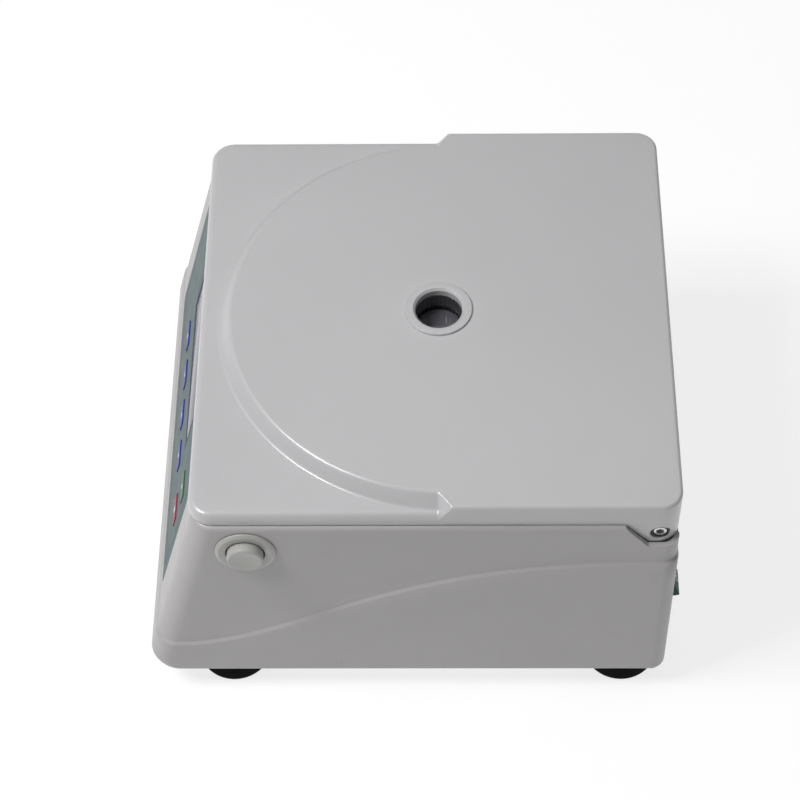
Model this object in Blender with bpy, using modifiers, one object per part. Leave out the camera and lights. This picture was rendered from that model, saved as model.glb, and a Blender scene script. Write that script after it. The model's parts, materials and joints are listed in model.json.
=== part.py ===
"""Benchtop laboratory centrifuge: moulded case, hinged lid, angle rotor, motor, controls and feet.

Metres, +Z up. The front with the control panel faces -Y and the hinge is at +Y. The origin lies on
the bench, under the middle of the bounding box.
"""

import math

import bmesh
import bpy
from mathutils import Matrix, Vector

# Driving dimensions
GAP = 0.0003
BASE_BOTTOM = 0.0201
DECK = 0.1765
LID_TOP = 0.1950
LID_SHOULDER = 0.1865
WALL = 0.0030

# Case
CASE_TOP_HALF_WIDTH = 0.1550
CASE_FOOT_HALF_WIDTH = 0.1616
CASE_REAR = 0.16345
CASE_REAR_CORNER = 0.0100
CASE_FRONT_CORNER = 0.0150
CASE_FOOT_CORNER = 0.0140
LEDGE = 0.0024
LEDGE_REAR = 0.0008
LEDGE_HALF_HEIGHT = 0.0012
LEDGE_CURVE = ((-0.1587, 0.0505), (-0.0717, 0.0505), (-0.0317, 0.1410), (0.1433, 0.1410))
NOSE_RADIUS = 0.0100
NOSE_FRONT = -0.17215
NOSE_SOLID = 0.0046
PANEL_LEAN = math.radians(14.3)
EDGE_FILLET = 0.0030

# Lid
LID_HALF_WIDTH = 0.1522
LID_FRONT = -0.13665
LID_REAR = 0.16335
LID_BOTTOM = DECK + GAP
LID_FILLET = 0.0045
LID_FRONT_CORNER = 0.0150
LID_REAR_CORNER = 0.0140
RAISED_FILLET = 0.0024
MIN_CORNER = 0.0020
BOSS_Y = 0.02335
BOSS_TOP_RADIUS = 0.1405
BOSS_FOOT_RADIUS = 0.1478
RAISED_HALF_FRONT = 0.01585
PORT_Y = 0.01645
PORT_RADIUS = 0.0150
PORT_RING_RADIUS = 0.0217

# Hinge
HINGE_Y = 0.15065
HINGE_Z = 0.1675
EAR_FRONT = 0.12895
EAR_FOOT_FRONT = 0.14375
EAR_BOTTOM = 0.1587
EAR_HOLE_RADIUS = 0.0061
EAR_CLEARANCE = 0.0006
BRACKET_X = (0.1385, 0.1415)
BRACKET_FOOT_X = (0.1200, 0.1400)
BRACKET_REACH = 0.0070
CHANNEL_FLOOR = 0.1480

# Chamber and drive
BOWL_RADIUS = 0.1040
BOWL_HOLE_CLEARANCE = 0.0014
BOWL_FLOOR = 0.0800
ROTOR_RADIUS = 0.0860
ROTOR_BOTTOM = 0.1000
ROTOR_TOP = 0.1500
POCKET_COUNT = 8
POCKET_RADIUS = 0.0086
POCKET_TILT = math.radians(35.0)
POCKET_DEPTH = 0.0520
MOTOR_RADIUS = 0.0340
SHAFT_RADIUS = 0.0040

# Controls
PANEL_HALF_WIDTH = 0.1200
PANEL_LENGTH = 0.1200
PANEL_START = 0.0030
OVERLAY_THICKNESS = 0.0008
KEY_WIDTH = 0.0200
KEY_HEIGHT = 0.0115
KEY_THICKNESS = 0.0018
RELEASE_Y = -0.10265
RELEASE_Z = 0.1537
RELEASE_CAP_RADIUS = 0.0113
RELEASE_BEZEL_RADIUS = 0.0188
RELEASE_FACE_X = 0.1635

# Feet and rear fittings
FOOT_RADIUS = 0.0243
FOOT_X = 0.1360
FOOT_FRONT_Y = -0.12015
FOOT_REAR_Y = 0.13685
ROCKER_X = 0.1200
ROCKER_Z = 0.0690
ROCKER_TILT = math.radians(12.0)
INLET_X = 0.0700
INLET_Z = 0.0690
INLET_HALF_SIZE = (0.0136, 0.0100)
FUSE_X = 0.0320
REAR_WALL = CASE_REAR + LEDGE_REAR
REAR_INSIDE = CASE_REAR - WALL
REAR_PANEL_X = (0.0200, 0.1370)
REAR_PANEL_Z = (0.0480, 0.0900)
REAR_PANEL_LIP = 0.0040
BEYOND = 0.2000

SIDE_STEPS = 18
CORNER_STEPS = 5
END_STEPS = 12


for old in list(bpy.data.objects):
    bpy.data.objects.remove(old, do_unlink=True)

parts = bpy.data.collections.new("benchtop_centrifuge")
cutters = bpy.data.collections.new("cutters")
bpy.context.scene.collection.children.link(parts)
bpy.context.scene.collection.children.link(cutters)


# Materials

def finish(name, colour, roughness, metallic=0.0):
    """A Principled material of its own for the named part."""
    material = bpy.data.materials.new(name)
    material.use_nodes = True
    shader = material.node_tree.nodes["Principled BSDF"]
    shader.inputs["Base Color"].default_value = (*colour, 1.0)
    shader.inputs["Roughness"].default_value = roughness
    shader.inputs["Metallic"].default_value = metallic
    return material


OFF_WHITE = ((0.72, 0.71, 0.72), 0.35)
WARM_WHITE = ((0.78, 0.80, 0.74), 0.40)
BLACK_PLASTIC = ((0.02, 0.02, 0.02), 0.45)
RUBBER = ((0.012, 0.012, 0.012), 0.75)
STEEL = ((0.60, 0.60, 0.62), 0.28, 1.0)
ZINC = ((0.55, 0.56, 0.58), 0.42, 1.0)
ALUMINIUM = ((0.66, 0.67, 0.69), 0.35, 1.0)
BOARD_GREEN = ((0.02, 0.16, 0.07), 0.50)
PANEL_GREY = ((0.27, 0.33, 0.37), 0.40)
GLASS_NAVY = ((0.03, 0.04, 0.10), 0.12)
CLEAR = ((0.30, 0.32, 0.34), 0.08)
KEY_BLUE = ((0.03, 0.06, 0.40), 0.40)
KEY_GREEN = ((0.04, 0.20, 0.09), 0.40)
KEY_RED = ((0.45, 0.03, 0.09), 0.40)
ROCKER_GREEN = ((0.01, 0.12, 0.10), 0.25)
CABLE_GREY = ((0.30, 0.30, 0.32), 0.55)


# Objects

def add_object(name, mesh, colour=None, cutter=False):
    obj = bpy.data.objects.new(name, mesh)
    (cutters if cutter else parts).objects.link(obj)
    if cutter:
        obj.hide_render = True
        obj.display_type = "WIRE"
    else:
        mesh.materials.append(finish(name, *colour))
    return obj


def mesh_from(bm, name, smooth_angle=None):
    bmesh.ops.recalc_face_normals(bm, faces=bm.faces)
    mesh = bpy.data.meshes.new(name)
    bm.to_mesh(mesh)
    bm.free()
    if smooth_angle is not None:
        mesh.shade_smooth()
        mesh.set_sharp_from_angle(angle=math.radians(smooth_angle))
    return mesh


def block(name, low, high, colour=None, cutter=False, bevel=0.0):
    """A box between two corners, with its origin at its middle."""
    low, high = Vector(low), Vector(high)
    bm = bmesh.new()
    bmesh.ops.create_cube(bm, size=1.0)
    bmesh.ops.scale(bm, vec=high - low, verts=bm.verts)
    if bevel:
        bmesh.ops.bevel(bm, geom=bm.edges[:], offset=bevel, segments=2, affect="EDGES", profile=0.5)
    obj = add_object(name, mesh_from(bm, name), colour, cutter)
    obj.location = (low + high) / 2
    return obj


def rod(name, start, end, radius, colour=None, cutter=False, sides=24, end_radius=None):
    """A cylinder or cone from start to end, with its origin at its middle."""
    start, end = Vector(start), Vector(end)
    axis = end - start
    bm = bmesh.new()
    bmesh.ops.create_cone(
        bm, cap_ends=True, segments=sides, radius1=radius,
        radius2=radius if end_radius is None else end_radius, depth=axis.length,
    )
    obj = add_object(name, mesh_from(bm, name, 40), colour, cutter)
    obj.location = (start + end) / 2
    obj.rotation_mode = "QUATERNION"
    obj.rotation_quaternion = Vector((0, 0, 1)).rotation_difference(axis)
    return obj


def turned(name, profile, colour=None, cutter=False, steps=32, closed=False, location=(0, 0, 0)):
    """A turned shape: (radius, height) points, down the outer side, swept round Z by a Screw modifier."""
    bm = bmesh.new()
    verts = [bm.verts.new((radius, 0.0, height)) for radius, height in profile]
    pairs = list(zip(verts, verts[1:]))
    if closed:
        pairs.append((verts[-1], verts[0]))
    for pair in pairs:
        bm.edges.new(pair)
    mesh = bpy.data.meshes.new(name)
    bm.to_mesh(mesh)
    bm.free()
    obj = add_object(name, mesh, colour, cutter)
    screw = obj.modifiers.new("turn", "SCREW")
    screw.angle = math.tau
    screw.steps = steps
    screw.render_steps = steps
    screw.use_merge_vertices = True
    screw.merge_threshold = 1e-5
    screw.use_smooth_shade = False
    obj.location = location
    return obj


def loft(name, rings, colour=None, cutter=False, closed=False, smooth_angle=35):
    """A skin over rings of equal count, closed on itself or capped at both ends."""
    bm = bmesh.new()
    rows = [[bm.verts.new(point) for point in ring] for ring in rings]
    spans = list(zip(rows, rows[1:]))
    if closed:
        spans.append((rows[-1], rows[0]))
    for low, high in spans:
        count = len(low)
        for i in range(count):
            j = (i + 1) % count
            bm.faces.new((low[i], low[j], high[j], high[i]))
    if not closed:
        bm.faces.new(list(reversed(rows[0])))
        bm.faces.new(rows[-1])
    return add_object(name, mesh_from(bm, name, smooth_angle), colour, cutter)


def prism(name, outline, low_x, high_x, colour=None, cutter=False):
    """An outline of (y, z) points, extruded along X."""
    rings = [[(x, y, z) for y, z in outline] for x in (low_x, high_x)]
    return loft(name, rings, colour, cutter)


def combine(target, tool, operation):
    """A Boolean of the tool on the target, with the exact solver."""
    modifier = target.modifiers.new(tool.name, "BOOLEAN")
    modifier.object = tool
    modifier.operation = operation
    modifier.solver = "EXACT"


def cut(target, *tools):
    for tool in tools:
        combine(target, tool, "DIFFERENCE")


def join(target, *tools):
    for tool in tools:
        combine(target, tool, "UNION")


def pivot(name, location):
    """An empty on a joint's axis."""
    empty = bpy.data.objects.new(name, None)
    empty.location = location
    parts.objects.link(empty)
    return empty


def hang(empty, *pieces):
    """Parent the pieces to a pivot without moving them."""
    for piece in pieces:
        piece.parent = empty
        piece.matrix_parent_inverse = Matrix.Translation(empty.location).inverted()


def tube(name, points, radius, colour, resolution=2):
    """A round lead along a smooth curve through the points."""
    curve = bpy.data.curves.new(name, "CURVE")
    curve.dimensions = "3D"
    curve.bevel_depth = radius
    curve.bevel_resolution = resolution
    curve.use_fill_caps = True
    spline = curve.splines.new("POLY")
    route = smooth_route([Vector(p) for p in points], spacing=radius * 4)
    spline.points.add(len(route) - 1)
    for slot, point in zip(spline.points, route):
        slot.co = (*point, 1.0)
    curve.materials.append(finish(name, *colour))
    obj = bpy.data.objects.new(name, curve)
    parts.objects.link(obj)
    return obj


def smooth_route(points, spacing):
    """Points along a Catmull-Rom curve through the given ones."""
    ends = [2 * points[0] - points[1], *points, 2 * points[-1] - points[-2]]
    route = []
    for a, b, c, d in zip(ends, ends[1:], ends[2:], ends[3:]):
        steps = max(2, round((c - b).length / spacing))
        for i in range(steps):
            t = i / steps
            route.append(0.5 * (2 * b + (c - a) * t + (2 * a - 5 * b + 4 * c - d) * t * t
                                + (3 * b - a - 3 * c + d) * t ** 3))
    return [*route, points[-1]]


# Plan outlines

def rounded_plan(half_width, front, rear, front_radius, rear_radius, side_steps=1, end_steps=1):
    """Plan points of a rounded rectangle, anticlockwise from the right side's front end."""
    def line(a, b, steps):
        return [(a[0] + (b[0] - a[0]) * i / steps, a[1] + (b[1] - a[1]) * i / steps)
                for i in range(1, steps)]

    def arc(x, y, radius, start):
        turns = [math.radians(start + 90.0 * i / CORNER_STEPS) for i in range(CORNER_STEPS + 1)]
        return [(x + radius * math.cos(t), y + radius * math.sin(t)) for t in turns]

    w, rf, rr = half_width, front_radius, rear_radius
    points = arc(w - rf, front + rf, rf, -90)
    points += line((w, front + rf), (w, rear - rr), side_steps)
    points += arc(w - rr, rear - rr, rr, 0)
    points += line((w - rr, rear), (rr - w, rear), end_steps)
    points += arc(rr - w, rear - rr, rr, 90)
    points += line((-w, rear - rr), (-w, front + rf), side_steps)
    points += arc(rf - w, front + rf, rf, 180)
    points += line((rf - w, front), (w - rf, front), end_steps)
    return points


NOSE_CENTRE = (NOSE_FRONT + NOSE_RADIUS, BASE_BOTTOM + NOSE_RADIUS)
PANEL_FOOT = (NOSE_CENTRE[0] - NOSE_RADIUS * math.cos(PANEL_LEAN),
              NOSE_CENTRE[1] + NOSE_RADIUS * math.sin(PANEL_LEAN))


def case_front(z):
    """The front's Y at a height: a leaning panel above a round nose."""
    if z >= PANEL_FOOT[1]:
        return PANEL_FOOT[0] + (z - PANEL_FOOT[1]) * math.tan(PANEL_LEAN)
    return NOSE_CENTRE[0] - math.sqrt(max(0.0, NOSE_RADIUS ** 2 - (z - NOSE_CENTRE[1]) ** 2))


def case_half_width(z):
    share = (DECK - z) / (DECK - BASE_BOTTOM)
    return CASE_TOP_HALF_WIDTH + (CASE_FOOT_HALF_WIDTH - CASE_TOP_HALF_WIDTH) * share


def case_plan(z, inset=0.0, side_extra=0.0, rear_extra=0.0, front_extra=0.0):
    share = (DECK - z) / (DECK - BASE_BOTTOM)
    corner = CASE_FRONT_CORNER + (CASE_FOOT_CORNER - CASE_FRONT_CORNER) * share
    return rounded_plan(
        case_half_width(z) + side_extra - inset,
        case_front(z) - front_extra + inset,
        CASE_REAR + rear_extra - inset,
        corner - inset, CASE_REAR_CORNER - inset, SIDE_STEPS, END_STEPS,
    )


def plate_plan(inset):
    """The opening under the case, which stops short of the solid nose."""
    stop = NOSE_CENTRE[0] + NOSE_SOLID + inset
    return [(x, max(y, stop)) for x, y in case_plan(NOSE_CENTRE[1], WALL + inset)]


def level(plan, z):
    return [(x, y, z) for x, y in plan]


def ledge_height(y):
    """Height of the case's S-shaped ledge, a Bezier curve in the side view."""
    (y0, z0), (y1, z1), (y2, z2), (y3, z3) = LEDGE_CURVE
    if y <= y0:
        return z0
    if y >= y3:
        return z3
    low, high = 0.0, 1.0
    for _ in range(30):
        t = (low + high) / 2
        here = (1 - t) ** 3 * y0 + 3 * t * (1 - t) ** 2 * y1 + 3 * t * t * (1 - t) * y2 + t ** 3 * y3
        low, high = (t, high) if here < y else (low, t)
    return (1 - t) ** 3 * z0 + 3 * t * (1 - t) ** 2 * z1 + 3 * t * t * (1 - t) * z2 + t ** 3 * z3


def ledge_ring(rise, ledge_share):
    """The case's outline along the ledge, just above or below it."""
    side, end = LEDGE * ledge_share, LEDGE_REAR * ledge_share
    ring = []
    for i, (_, y) in enumerate(case_plan(PANEL_FOOT[1])):
        z = ledge_height(y) + rise
        for _ in range(4):
            plan = case_plan(z, 0.0, side, end, end)
            z = ledge_height(plan[i][1]) + rise
        ring.append((*plan[i], z))
    return ring


# Case

def make_base_housing():
    skirt = (LEDGE, LEDGE_REAR, LEDGE_REAR)
    fillet = EDGE_FILLET
    rings = []
    for rise, inset in ((0.0, fillet), (0.3 * fillet, 0.3 * fillet), (fillet, 0.0)):
        rings.append(level(case_plan(BASE_BOTTOM + rise, inset, *skirt), BASE_BOTTOM + rise))
    for z in (NOSE_CENTRE[1] - 0.5 * NOSE_RADIUS, NOSE_CENTRE[1], PANEL_FOOT[1]):
        rings.append(level(case_plan(z, 0.0, *skirt), z))
    rings.append(ledge_ring(-LEDGE_HALF_HEIGHT, 1.0))
    rings.append(ledge_ring(LEDGE_HALF_HEIGHT, 0.0))
    for drop, inset in ((fillet, 0.0), (0.3 * fillet, 0.3 * fillet), (0.0, fillet)):
        rings.append(level(case_plan(DECK - drop, inset), DECK - drop))
    hole = []
    radius = BOWL_RADIUS + BOWL_HOLE_CLEARANCE
    for x, y, _ in rings[-1]:
        turn = math.atan2(y - PORT_Y, x)
        hole.append((radius * math.cos(turn), PORT_Y + radius * math.sin(turn)))
    rings.append(level(hole, DECK))
    rings.append(level(hole, DECK - WALL))
    rings.append(level(case_plan(DECK - WALL, WALL), DECK - WALL))
    rings.append(level(case_plan(PANEL_FOOT[1], WALL), PANEL_FOOT[1]))
    rings.append(level(plate_plan(0.0), BASE_BOTTOM))
    return loft("base_housing", rings, OFF_WHITE, closed=True)


def on_panel(x, along, out):
    """A point on the leaning front: across, down the slope from the deck, and out of its face."""
    top = Vector((x, case_front(DECK), DECK))
    down = Vector((0, -math.sin(PANEL_LEAN), -math.cos(PANEL_LEAN)))
    normal = Vector((0, -math.cos(PANEL_LEAN), math.sin(PANEL_LEAN)))
    return top + down * along + normal * out


def panel_block(name, x, along, out, colour=None, cutter=False, bevel=0.0):
    """A box set square to the leaning front; x, along and out are (low, high) pairs."""
    size = (x[1] - x[0], out[1] - out[0], along[1] - along[0])
    half = Vector(size) / 2
    obj = block(name, -half, half, colour, cutter, bevel)
    obj.location = on_panel(sum(x) / 2, sum(along) / 2, sum(out) / 2)
    obj.rotation_euler = (-PANEL_LEAN, 0, 0)
    return obj


def cut_case(case):
    floor = EAR_BOTTOM - EAR_CLEARANCE
    notch = ((EAR_FRONT, DECK), (EAR_FOOT_FRONT, floor), (BEYOND, floor), (BEYOND, BEYOND), (EAR_FRONT, BEYOND))
    cut(case, prism("cut_hinge_notch", notch, -BEYOND, BEYOND, cutter=True))
    cut(case, block("cut_rear_wall", (-0.1450, 0.1560, 0.1530), (0.1450, BEYOND, BEYOND), cutter=True))
    recess = OVERLAY_THICKNESS + GAP
    end = PANEL_START + PANEL_LENGTH
    cut(case, panel_block("cut_panel_recess", (-PANEL_HALF_WIDTH - GAP, PANEL_HALF_WIDTH + GAP),
                          (PANEL_START - GAP, end + GAP), (-recess, 0.02), cutter=True))
    cut(case, panel_block("cut_panel_window", (-0.108, 0.108), (0.014, 0.096), (-0.02, 0.02), cutter=True))
    cut(case, rod("cut_release_hole", (0.14, RELEASE_Y, RELEASE_Z), (0.18, RELEASE_Y, RELEASE_Z),
                  RELEASE_CAP_RADIUS + 0.0014, cutter=True))
    cut(case, block("cut_striker_slot", (0.1125, RELEASE_Y - 0.008, 0.16), (0.1225, RELEASE_Y + 0.008, 0.19),
                    cutter=True))
    (left, right), (low, high) = REAR_PANEL_X, REAR_PANEL_Z
    cut(case, block("cut_rear_panel", (left, 0.15, low), (right, 0.18, high), cutter=True))
    for i in range(7):
        x = -0.106 + 0.012 * i
        cut(case, block(f"cut_vent_{i}", (x - 0.0025, 0.15, 0.052), (x + 0.0025, 0.18, 0.092), cutter=True))


base_housing = make_base_housing()
cut_case(base_housing)


def make_base_plate():
    plan = plate_plan(4 * GAP)
    plate = loft("base_plate", [level(plan, 0.0215), level(plan, 0.0230)], ZINC)
    for i in range(6):
        y = -0.075 + 0.012 * i
        cut(plate, block(f"cut_plate_vent_{i}", (-0.128, y - 0.0025, 0.02), (-0.078, y + 0.0025, 0.025),
                         cutter=True))


make_base_plate()

FOOT_PLACES = {
    "front_left": (-FOOT_X, FOOT_FRONT_Y),
    "front_right": (FOOT_X, FOOT_FRONT_Y),
    "rear_left": (-FOOT_X, FOOT_REAR_Y),
    "rear_right": (FOOT_X, FOOT_REAR_Y),
}
FOOT_TOP = 0.0212
FOOT_PROFILE = ((0.0, FOOT_TOP), (0.0140, FOOT_TOP), (0.0150, 0.0135), (0.0205, 0.0090), (FOOT_RADIUS, 0.0020),
                (FOOT_RADIUS - 0.0008, 0.0), (0.0215, 0.0), (0.0120, 0.0035), (0.0, 0.0045))
for place, (x, y) in FOOT_PLACES.items():
    turned(f"suction_foot_{place}", FOOT_PROFILE, RUBBER, steps=20, location=(x, y, 0))


# Chamber and drive

def make_bowl():
    r = BOWL_RADIUS
    profile = ((r, DECK + 0.0013), (r + 0.0065, DECK + 0.0013), (r + 0.0065, DECK + GAP),
               (r + 0.0003, DECK + GAP), (r - 0.0048, 0.0960), (r - 0.0150, BOWL_FLOOR - 0.0012),
               (0.0240, BOWL_FLOOR - 0.0012), (0.0240, BOWL_FLOOR), (r - 0.0160, BOWL_FLOOR),
               (r - 0.0062, 0.0960), (r - 0.0010, DECK - 0.0010))
    turned("chamber_bowl", profile, STEEL, steps=40, closed=True, location=(0, PORT_Y, 0))
    low = DECK + 0.0016
    seal = ((0.1055, low + 0.0030), (0.1075, low + 0.0030), (0.1090, low + 0.0016), (0.1090, low),
            (0.1048, low), (0.1048, low + 0.0016))
    turned("chamber_gasket", seal, RUBBER, steps=40, closed=True, location=(0, PORT_Y, 0))
    boot = ((0.0070, 0.0900), (0.0100, 0.0900), (0.0150, 0.0835), (0.0230, 0.0815), (0.0260, BOWL_FLOOR + GAP),
            (0.0234, BOWL_FLOOR + GAP), (0.0234, 0.0775), (0.0130, 0.0775), (0.0070, 0.0850))
    turned("shaft_boot", boot, RUBBER, steps=24, closed=True, location=(0, PORT_Y, 0))


def make_motor():
    r = MOTOR_RADIUS
    profile = ((0.0055, 0.0735), (r - 0.004, 0.0735), (r, 0.0700), (r, 0.0510), (r + 0.010, 0.0510),
               (r + 0.010, 0.0470), (r, 0.0470), (r, 0.0290), (r - 0.004, 0.0255), (0.0, 0.0255),
               (0.0, 0.0600), (0.0055, 0.0600))
    turned("motor_housing", profile, ZINC, steps=24, closed=True, location=(0, PORT_Y, 0))
    plate = rod("motor_plate", (0, PORT_Y, 0.0437), (0, PORT_Y, 0.0467), 0.0700, ZINC, sides=3)
    plate.rotation_mode = "XYZ"
    plate.rotation_euler = (0, 0, math.radians(60.0))
    rounding = rod("trim_motor_plate", (0, PORT_Y, 0.04), (0, PORT_Y, 0.05), 0.0610, cutter=True, sides=24)
    combine(plate, rounding, "INTERSECT")
    cut(plate, rod("cut_motor_hole", (0, PORT_Y, 0.04), (0, PORT_Y, 0.05), r + 0.0005, cutter=True, sides=32))
    for i in range(3):
        turn = math.radians(150.0 + 120.0 * i)
        x, y = 0.0520 * math.cos(turn), PORT_Y + 0.0520 * math.sin(turn)
        profile = ((0.0, 0.0434), (0.0080, 0.0434), (0.0062, 0.0334), (0.0080, 0.0233), (0.0, 0.0233))
        turned(f"vibration_mount_{i + 1}", profile, RUBBER, steps=12, location=(x, y, 0))


def make_rotor():
    r = ROTOR_RADIUS
    bore = SHAFT_RADIUS + GAP
    profile = ((bore, 0.1455), (0.0180, 0.1455), (0.0240, ROTOR_TOP), (0.0420, ROTOR_TOP), (r - 0.004, 0.1340),
               (r, 0.1290), (r, 0.1180), (r - 0.016, ROTOR_BOTTOM), (bore, ROTOR_BOTTOM))
    rotor = turned("rotor", profile, ALUMINIUM, steps=40, closed=True, location=(0, PORT_Y, 0))
    mouth = 0.0560
    for i in range(POCKET_COUNT):
        turn = math.tau * (i + 0.5) / POCKET_COUNT
        outward = Vector((math.cos(turn), math.sin(turn), 0))
        down = outward * math.sin(POCKET_TILT) - Vector((0, 0, math.cos(POCKET_TILT)))
        start = Vector((0, PORT_Y, 0.1450)) + outward * mouth
        cut(rotor, rod(f"cut_pocket_{i}", start - down * 0.02, start + down * (POCKET_DEPTH - 0.018),
                       POCKET_RADIUS, cutter=True, sides=16))
    nut_low = 0.1458
    nut = ((0.0, nut_low + 0.0150), (0.0100, nut_low + 0.0150), (0.0125, nut_low + 0.0130),
           (0.0125, nut_low + 0.0040), (0.0145, nut_low + 0.0020), (0.0145, nut_low), (0.0052, nut_low),
           (0.0052, nut_low + 0.0080), (0.0, nut_low + 0.0080))
    rotor_nut = turned("rotor_nut", nut, BLACK_PLASTIC, steps=24, location=(0, PORT_Y, 0))
    shaft = rod("drive_shaft", (0, PORT_Y, 0.0615), (0, PORT_Y, 0.1530), SHAFT_RADIUS, STEEL, sides=16)
    hang(pivot("rotor_axis", (0, PORT_Y, ROTOR_BOTTOM)), rotor, rotor_nut, shaft)


make_bowl()
make_motor()
make_rotor()


# Lid

def lid_rings(half_width, span, corners, bottom, top, fillet):
    """Rings of a lid-like slab with a round upper edge; span is its (front, rear) Y."""
    front, rear = span
    rings = [level(rounded_plan(half_width, front, rear, *corners), bottom)]
    for degrees in (0, 30, 60, 90):
        turn = math.radians(degrees)
        inset = fillet * (1 - math.cos(turn))
        radii = [max(MIN_CORNER, corner - inset) for corner in corners]
        plan = rounded_plan(half_width - inset, front + inset, rear - inset, *radii)
        rings.append(level(plan, top - fillet * (1 - math.sin(turn))))
    return rings


def boss_cone(name, shrink, low, high):
    slope = (BOSS_FOOT_RADIUS - BOSS_TOP_RADIUS) / (LID_TOP - LID_SHOULDER)
    low_radius = BOSS_TOP_RADIUS + slope * (LID_TOP - low) - shrink
    high_radius = BOSS_TOP_RADIUS + slope * (LID_TOP - high) - shrink
    cone = rod(name, (0, BOSS_Y, low), (0, BOSS_Y, high), low_radius, cutter=True, sides=64,
               end_radius=high_radius)
    cut(cone, block(name + "_rear", (-0.16, BOSS_Y + 0.05, 0.17), (0.16, 0.2, 0.2), cutter=True))
    return cone


def raised_half(name, shrink, low, high, fillet):
    """The rear half of the lid, whose front face leans back."""
    span = (-0.05, LID_REAR - 0.0002 - shrink)
    rings = lid_rings(LID_HALF_WIDTH - 0.0004 - shrink, span, (0.0040, LID_REAR_CORNER), low, high, fillet)
    slab = loft(name, rings, cutter=True)
    lean = (BOSS_Y - RAISED_HALF_FRONT) / (LID_TOP - LID_SHOULDER)
    foot = RAISED_HALF_FRONT + shrink - lean * (LID_SHOULDER - low)
    head = RAISED_HALF_FRONT + shrink + lean * (high - LID_SHOULDER)
    outline = ((foot, low - 0.001), (head, high + 0.001), (-BEYOND, high + 0.001), (-BEYOND, low - 0.001))
    cut(slab, prism(name + "_front", outline, -BEYOND, BEYOND, cutter=True))
    return slab


def ear_band(name, inset, low, high):
    """A slab over the lid's rear part, for the skirt that drops to the hinge."""
    plan = rounded_plan(LID_HALF_WIDTH - 0.0003 - inset, 0.05, LID_REAR - 0.0007 - inset, 0.004, LID_REAR_CORNER)
    return loft(name, [level(plan, low), level(plan, high)], cutter=True)


def make_lid_shell():
    corners = (LID_FRONT_CORNER, LID_REAR_CORNER)
    rings = lid_rings(LID_HALF_WIDTH, (LID_FRONT, LID_REAR), corners, LID_BOTTOM, LID_SHOULDER, LID_FILLET)
    lid = loft("lid_shell", rings, OFF_WHITE)
    join(lid, raised_half("lid_raised_half", 0.0, LID_BOTTOM + 0.001, LID_TOP, RAISED_FILLET))
    join(lid, boss_cone("lid_boss", 0.0, LID_SHOULDER - 0.002, LID_TOP))
    under = LID_BOTTOM - 0.0005
    rings = lid_rings(LID_HALF_WIDTH - WALL, (LID_FRONT + WALL, LID_REAR - WALL), (0.0120, LID_REAR_CORNER), under,
                      LID_SHOULDER - WALL, 0.5 * LID_FILLET)
    cut(lid, loft("cut_lid_hollow", rings, cutter=True))
    cut(lid, raised_half("cut_raised_hollow", WALL, under, LID_TOP - WALL, 0.5 * RAISED_FILLET))
    cut(lid, boss_cone("cut_boss_hollow", WALL, LID_BOTTOM + 0.002, LID_TOP - WALL))

    skirt = ear_band("lid_ear_band", 0.0, EAR_BOTTOM, LID_BOTTOM + 0.004)
    cut(skirt, ear_band("cut_ear_band", WALL, EAR_BOTTOM - 0.001, LID_BOTTOM + 0.006))
    slope = (EAR_FOOT_FRONT - EAR_FRONT) / (DECK - EAR_BOTTOM)
    over, clear = 0.0100, 0.0004
    top, bottom = DECK + over, EAR_BOTTOM - over
    ahead = ((EAR_FRONT + clear - slope * over, top), (EAR_FOOT_FRONT + clear + slope * over, bottom),
             (-BEYOND, bottom), (-BEYOND, top))
    cut(skirt, prism("cut_ear_slope", ahead, -BEYOND, BEYOND, cutter=True))
    join(lid, skirt)
    for side in (-1, 1):
        cut(lid, rod(f"cut_ear_hole_{side}", (side * 0.140, HINGE_Y, HINGE_Z), (side * 0.160, HINGE_Y, HINGE_Z),
                     EAR_HOLE_RADIUS, cutter=True, sides=32))
    cut(lid, rod("cut_port_hole", (0, PORT_Y, 0.185), (0, PORT_Y, 0.2), 0.0176, cutter=True, sides=40))
    return lid


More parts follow.
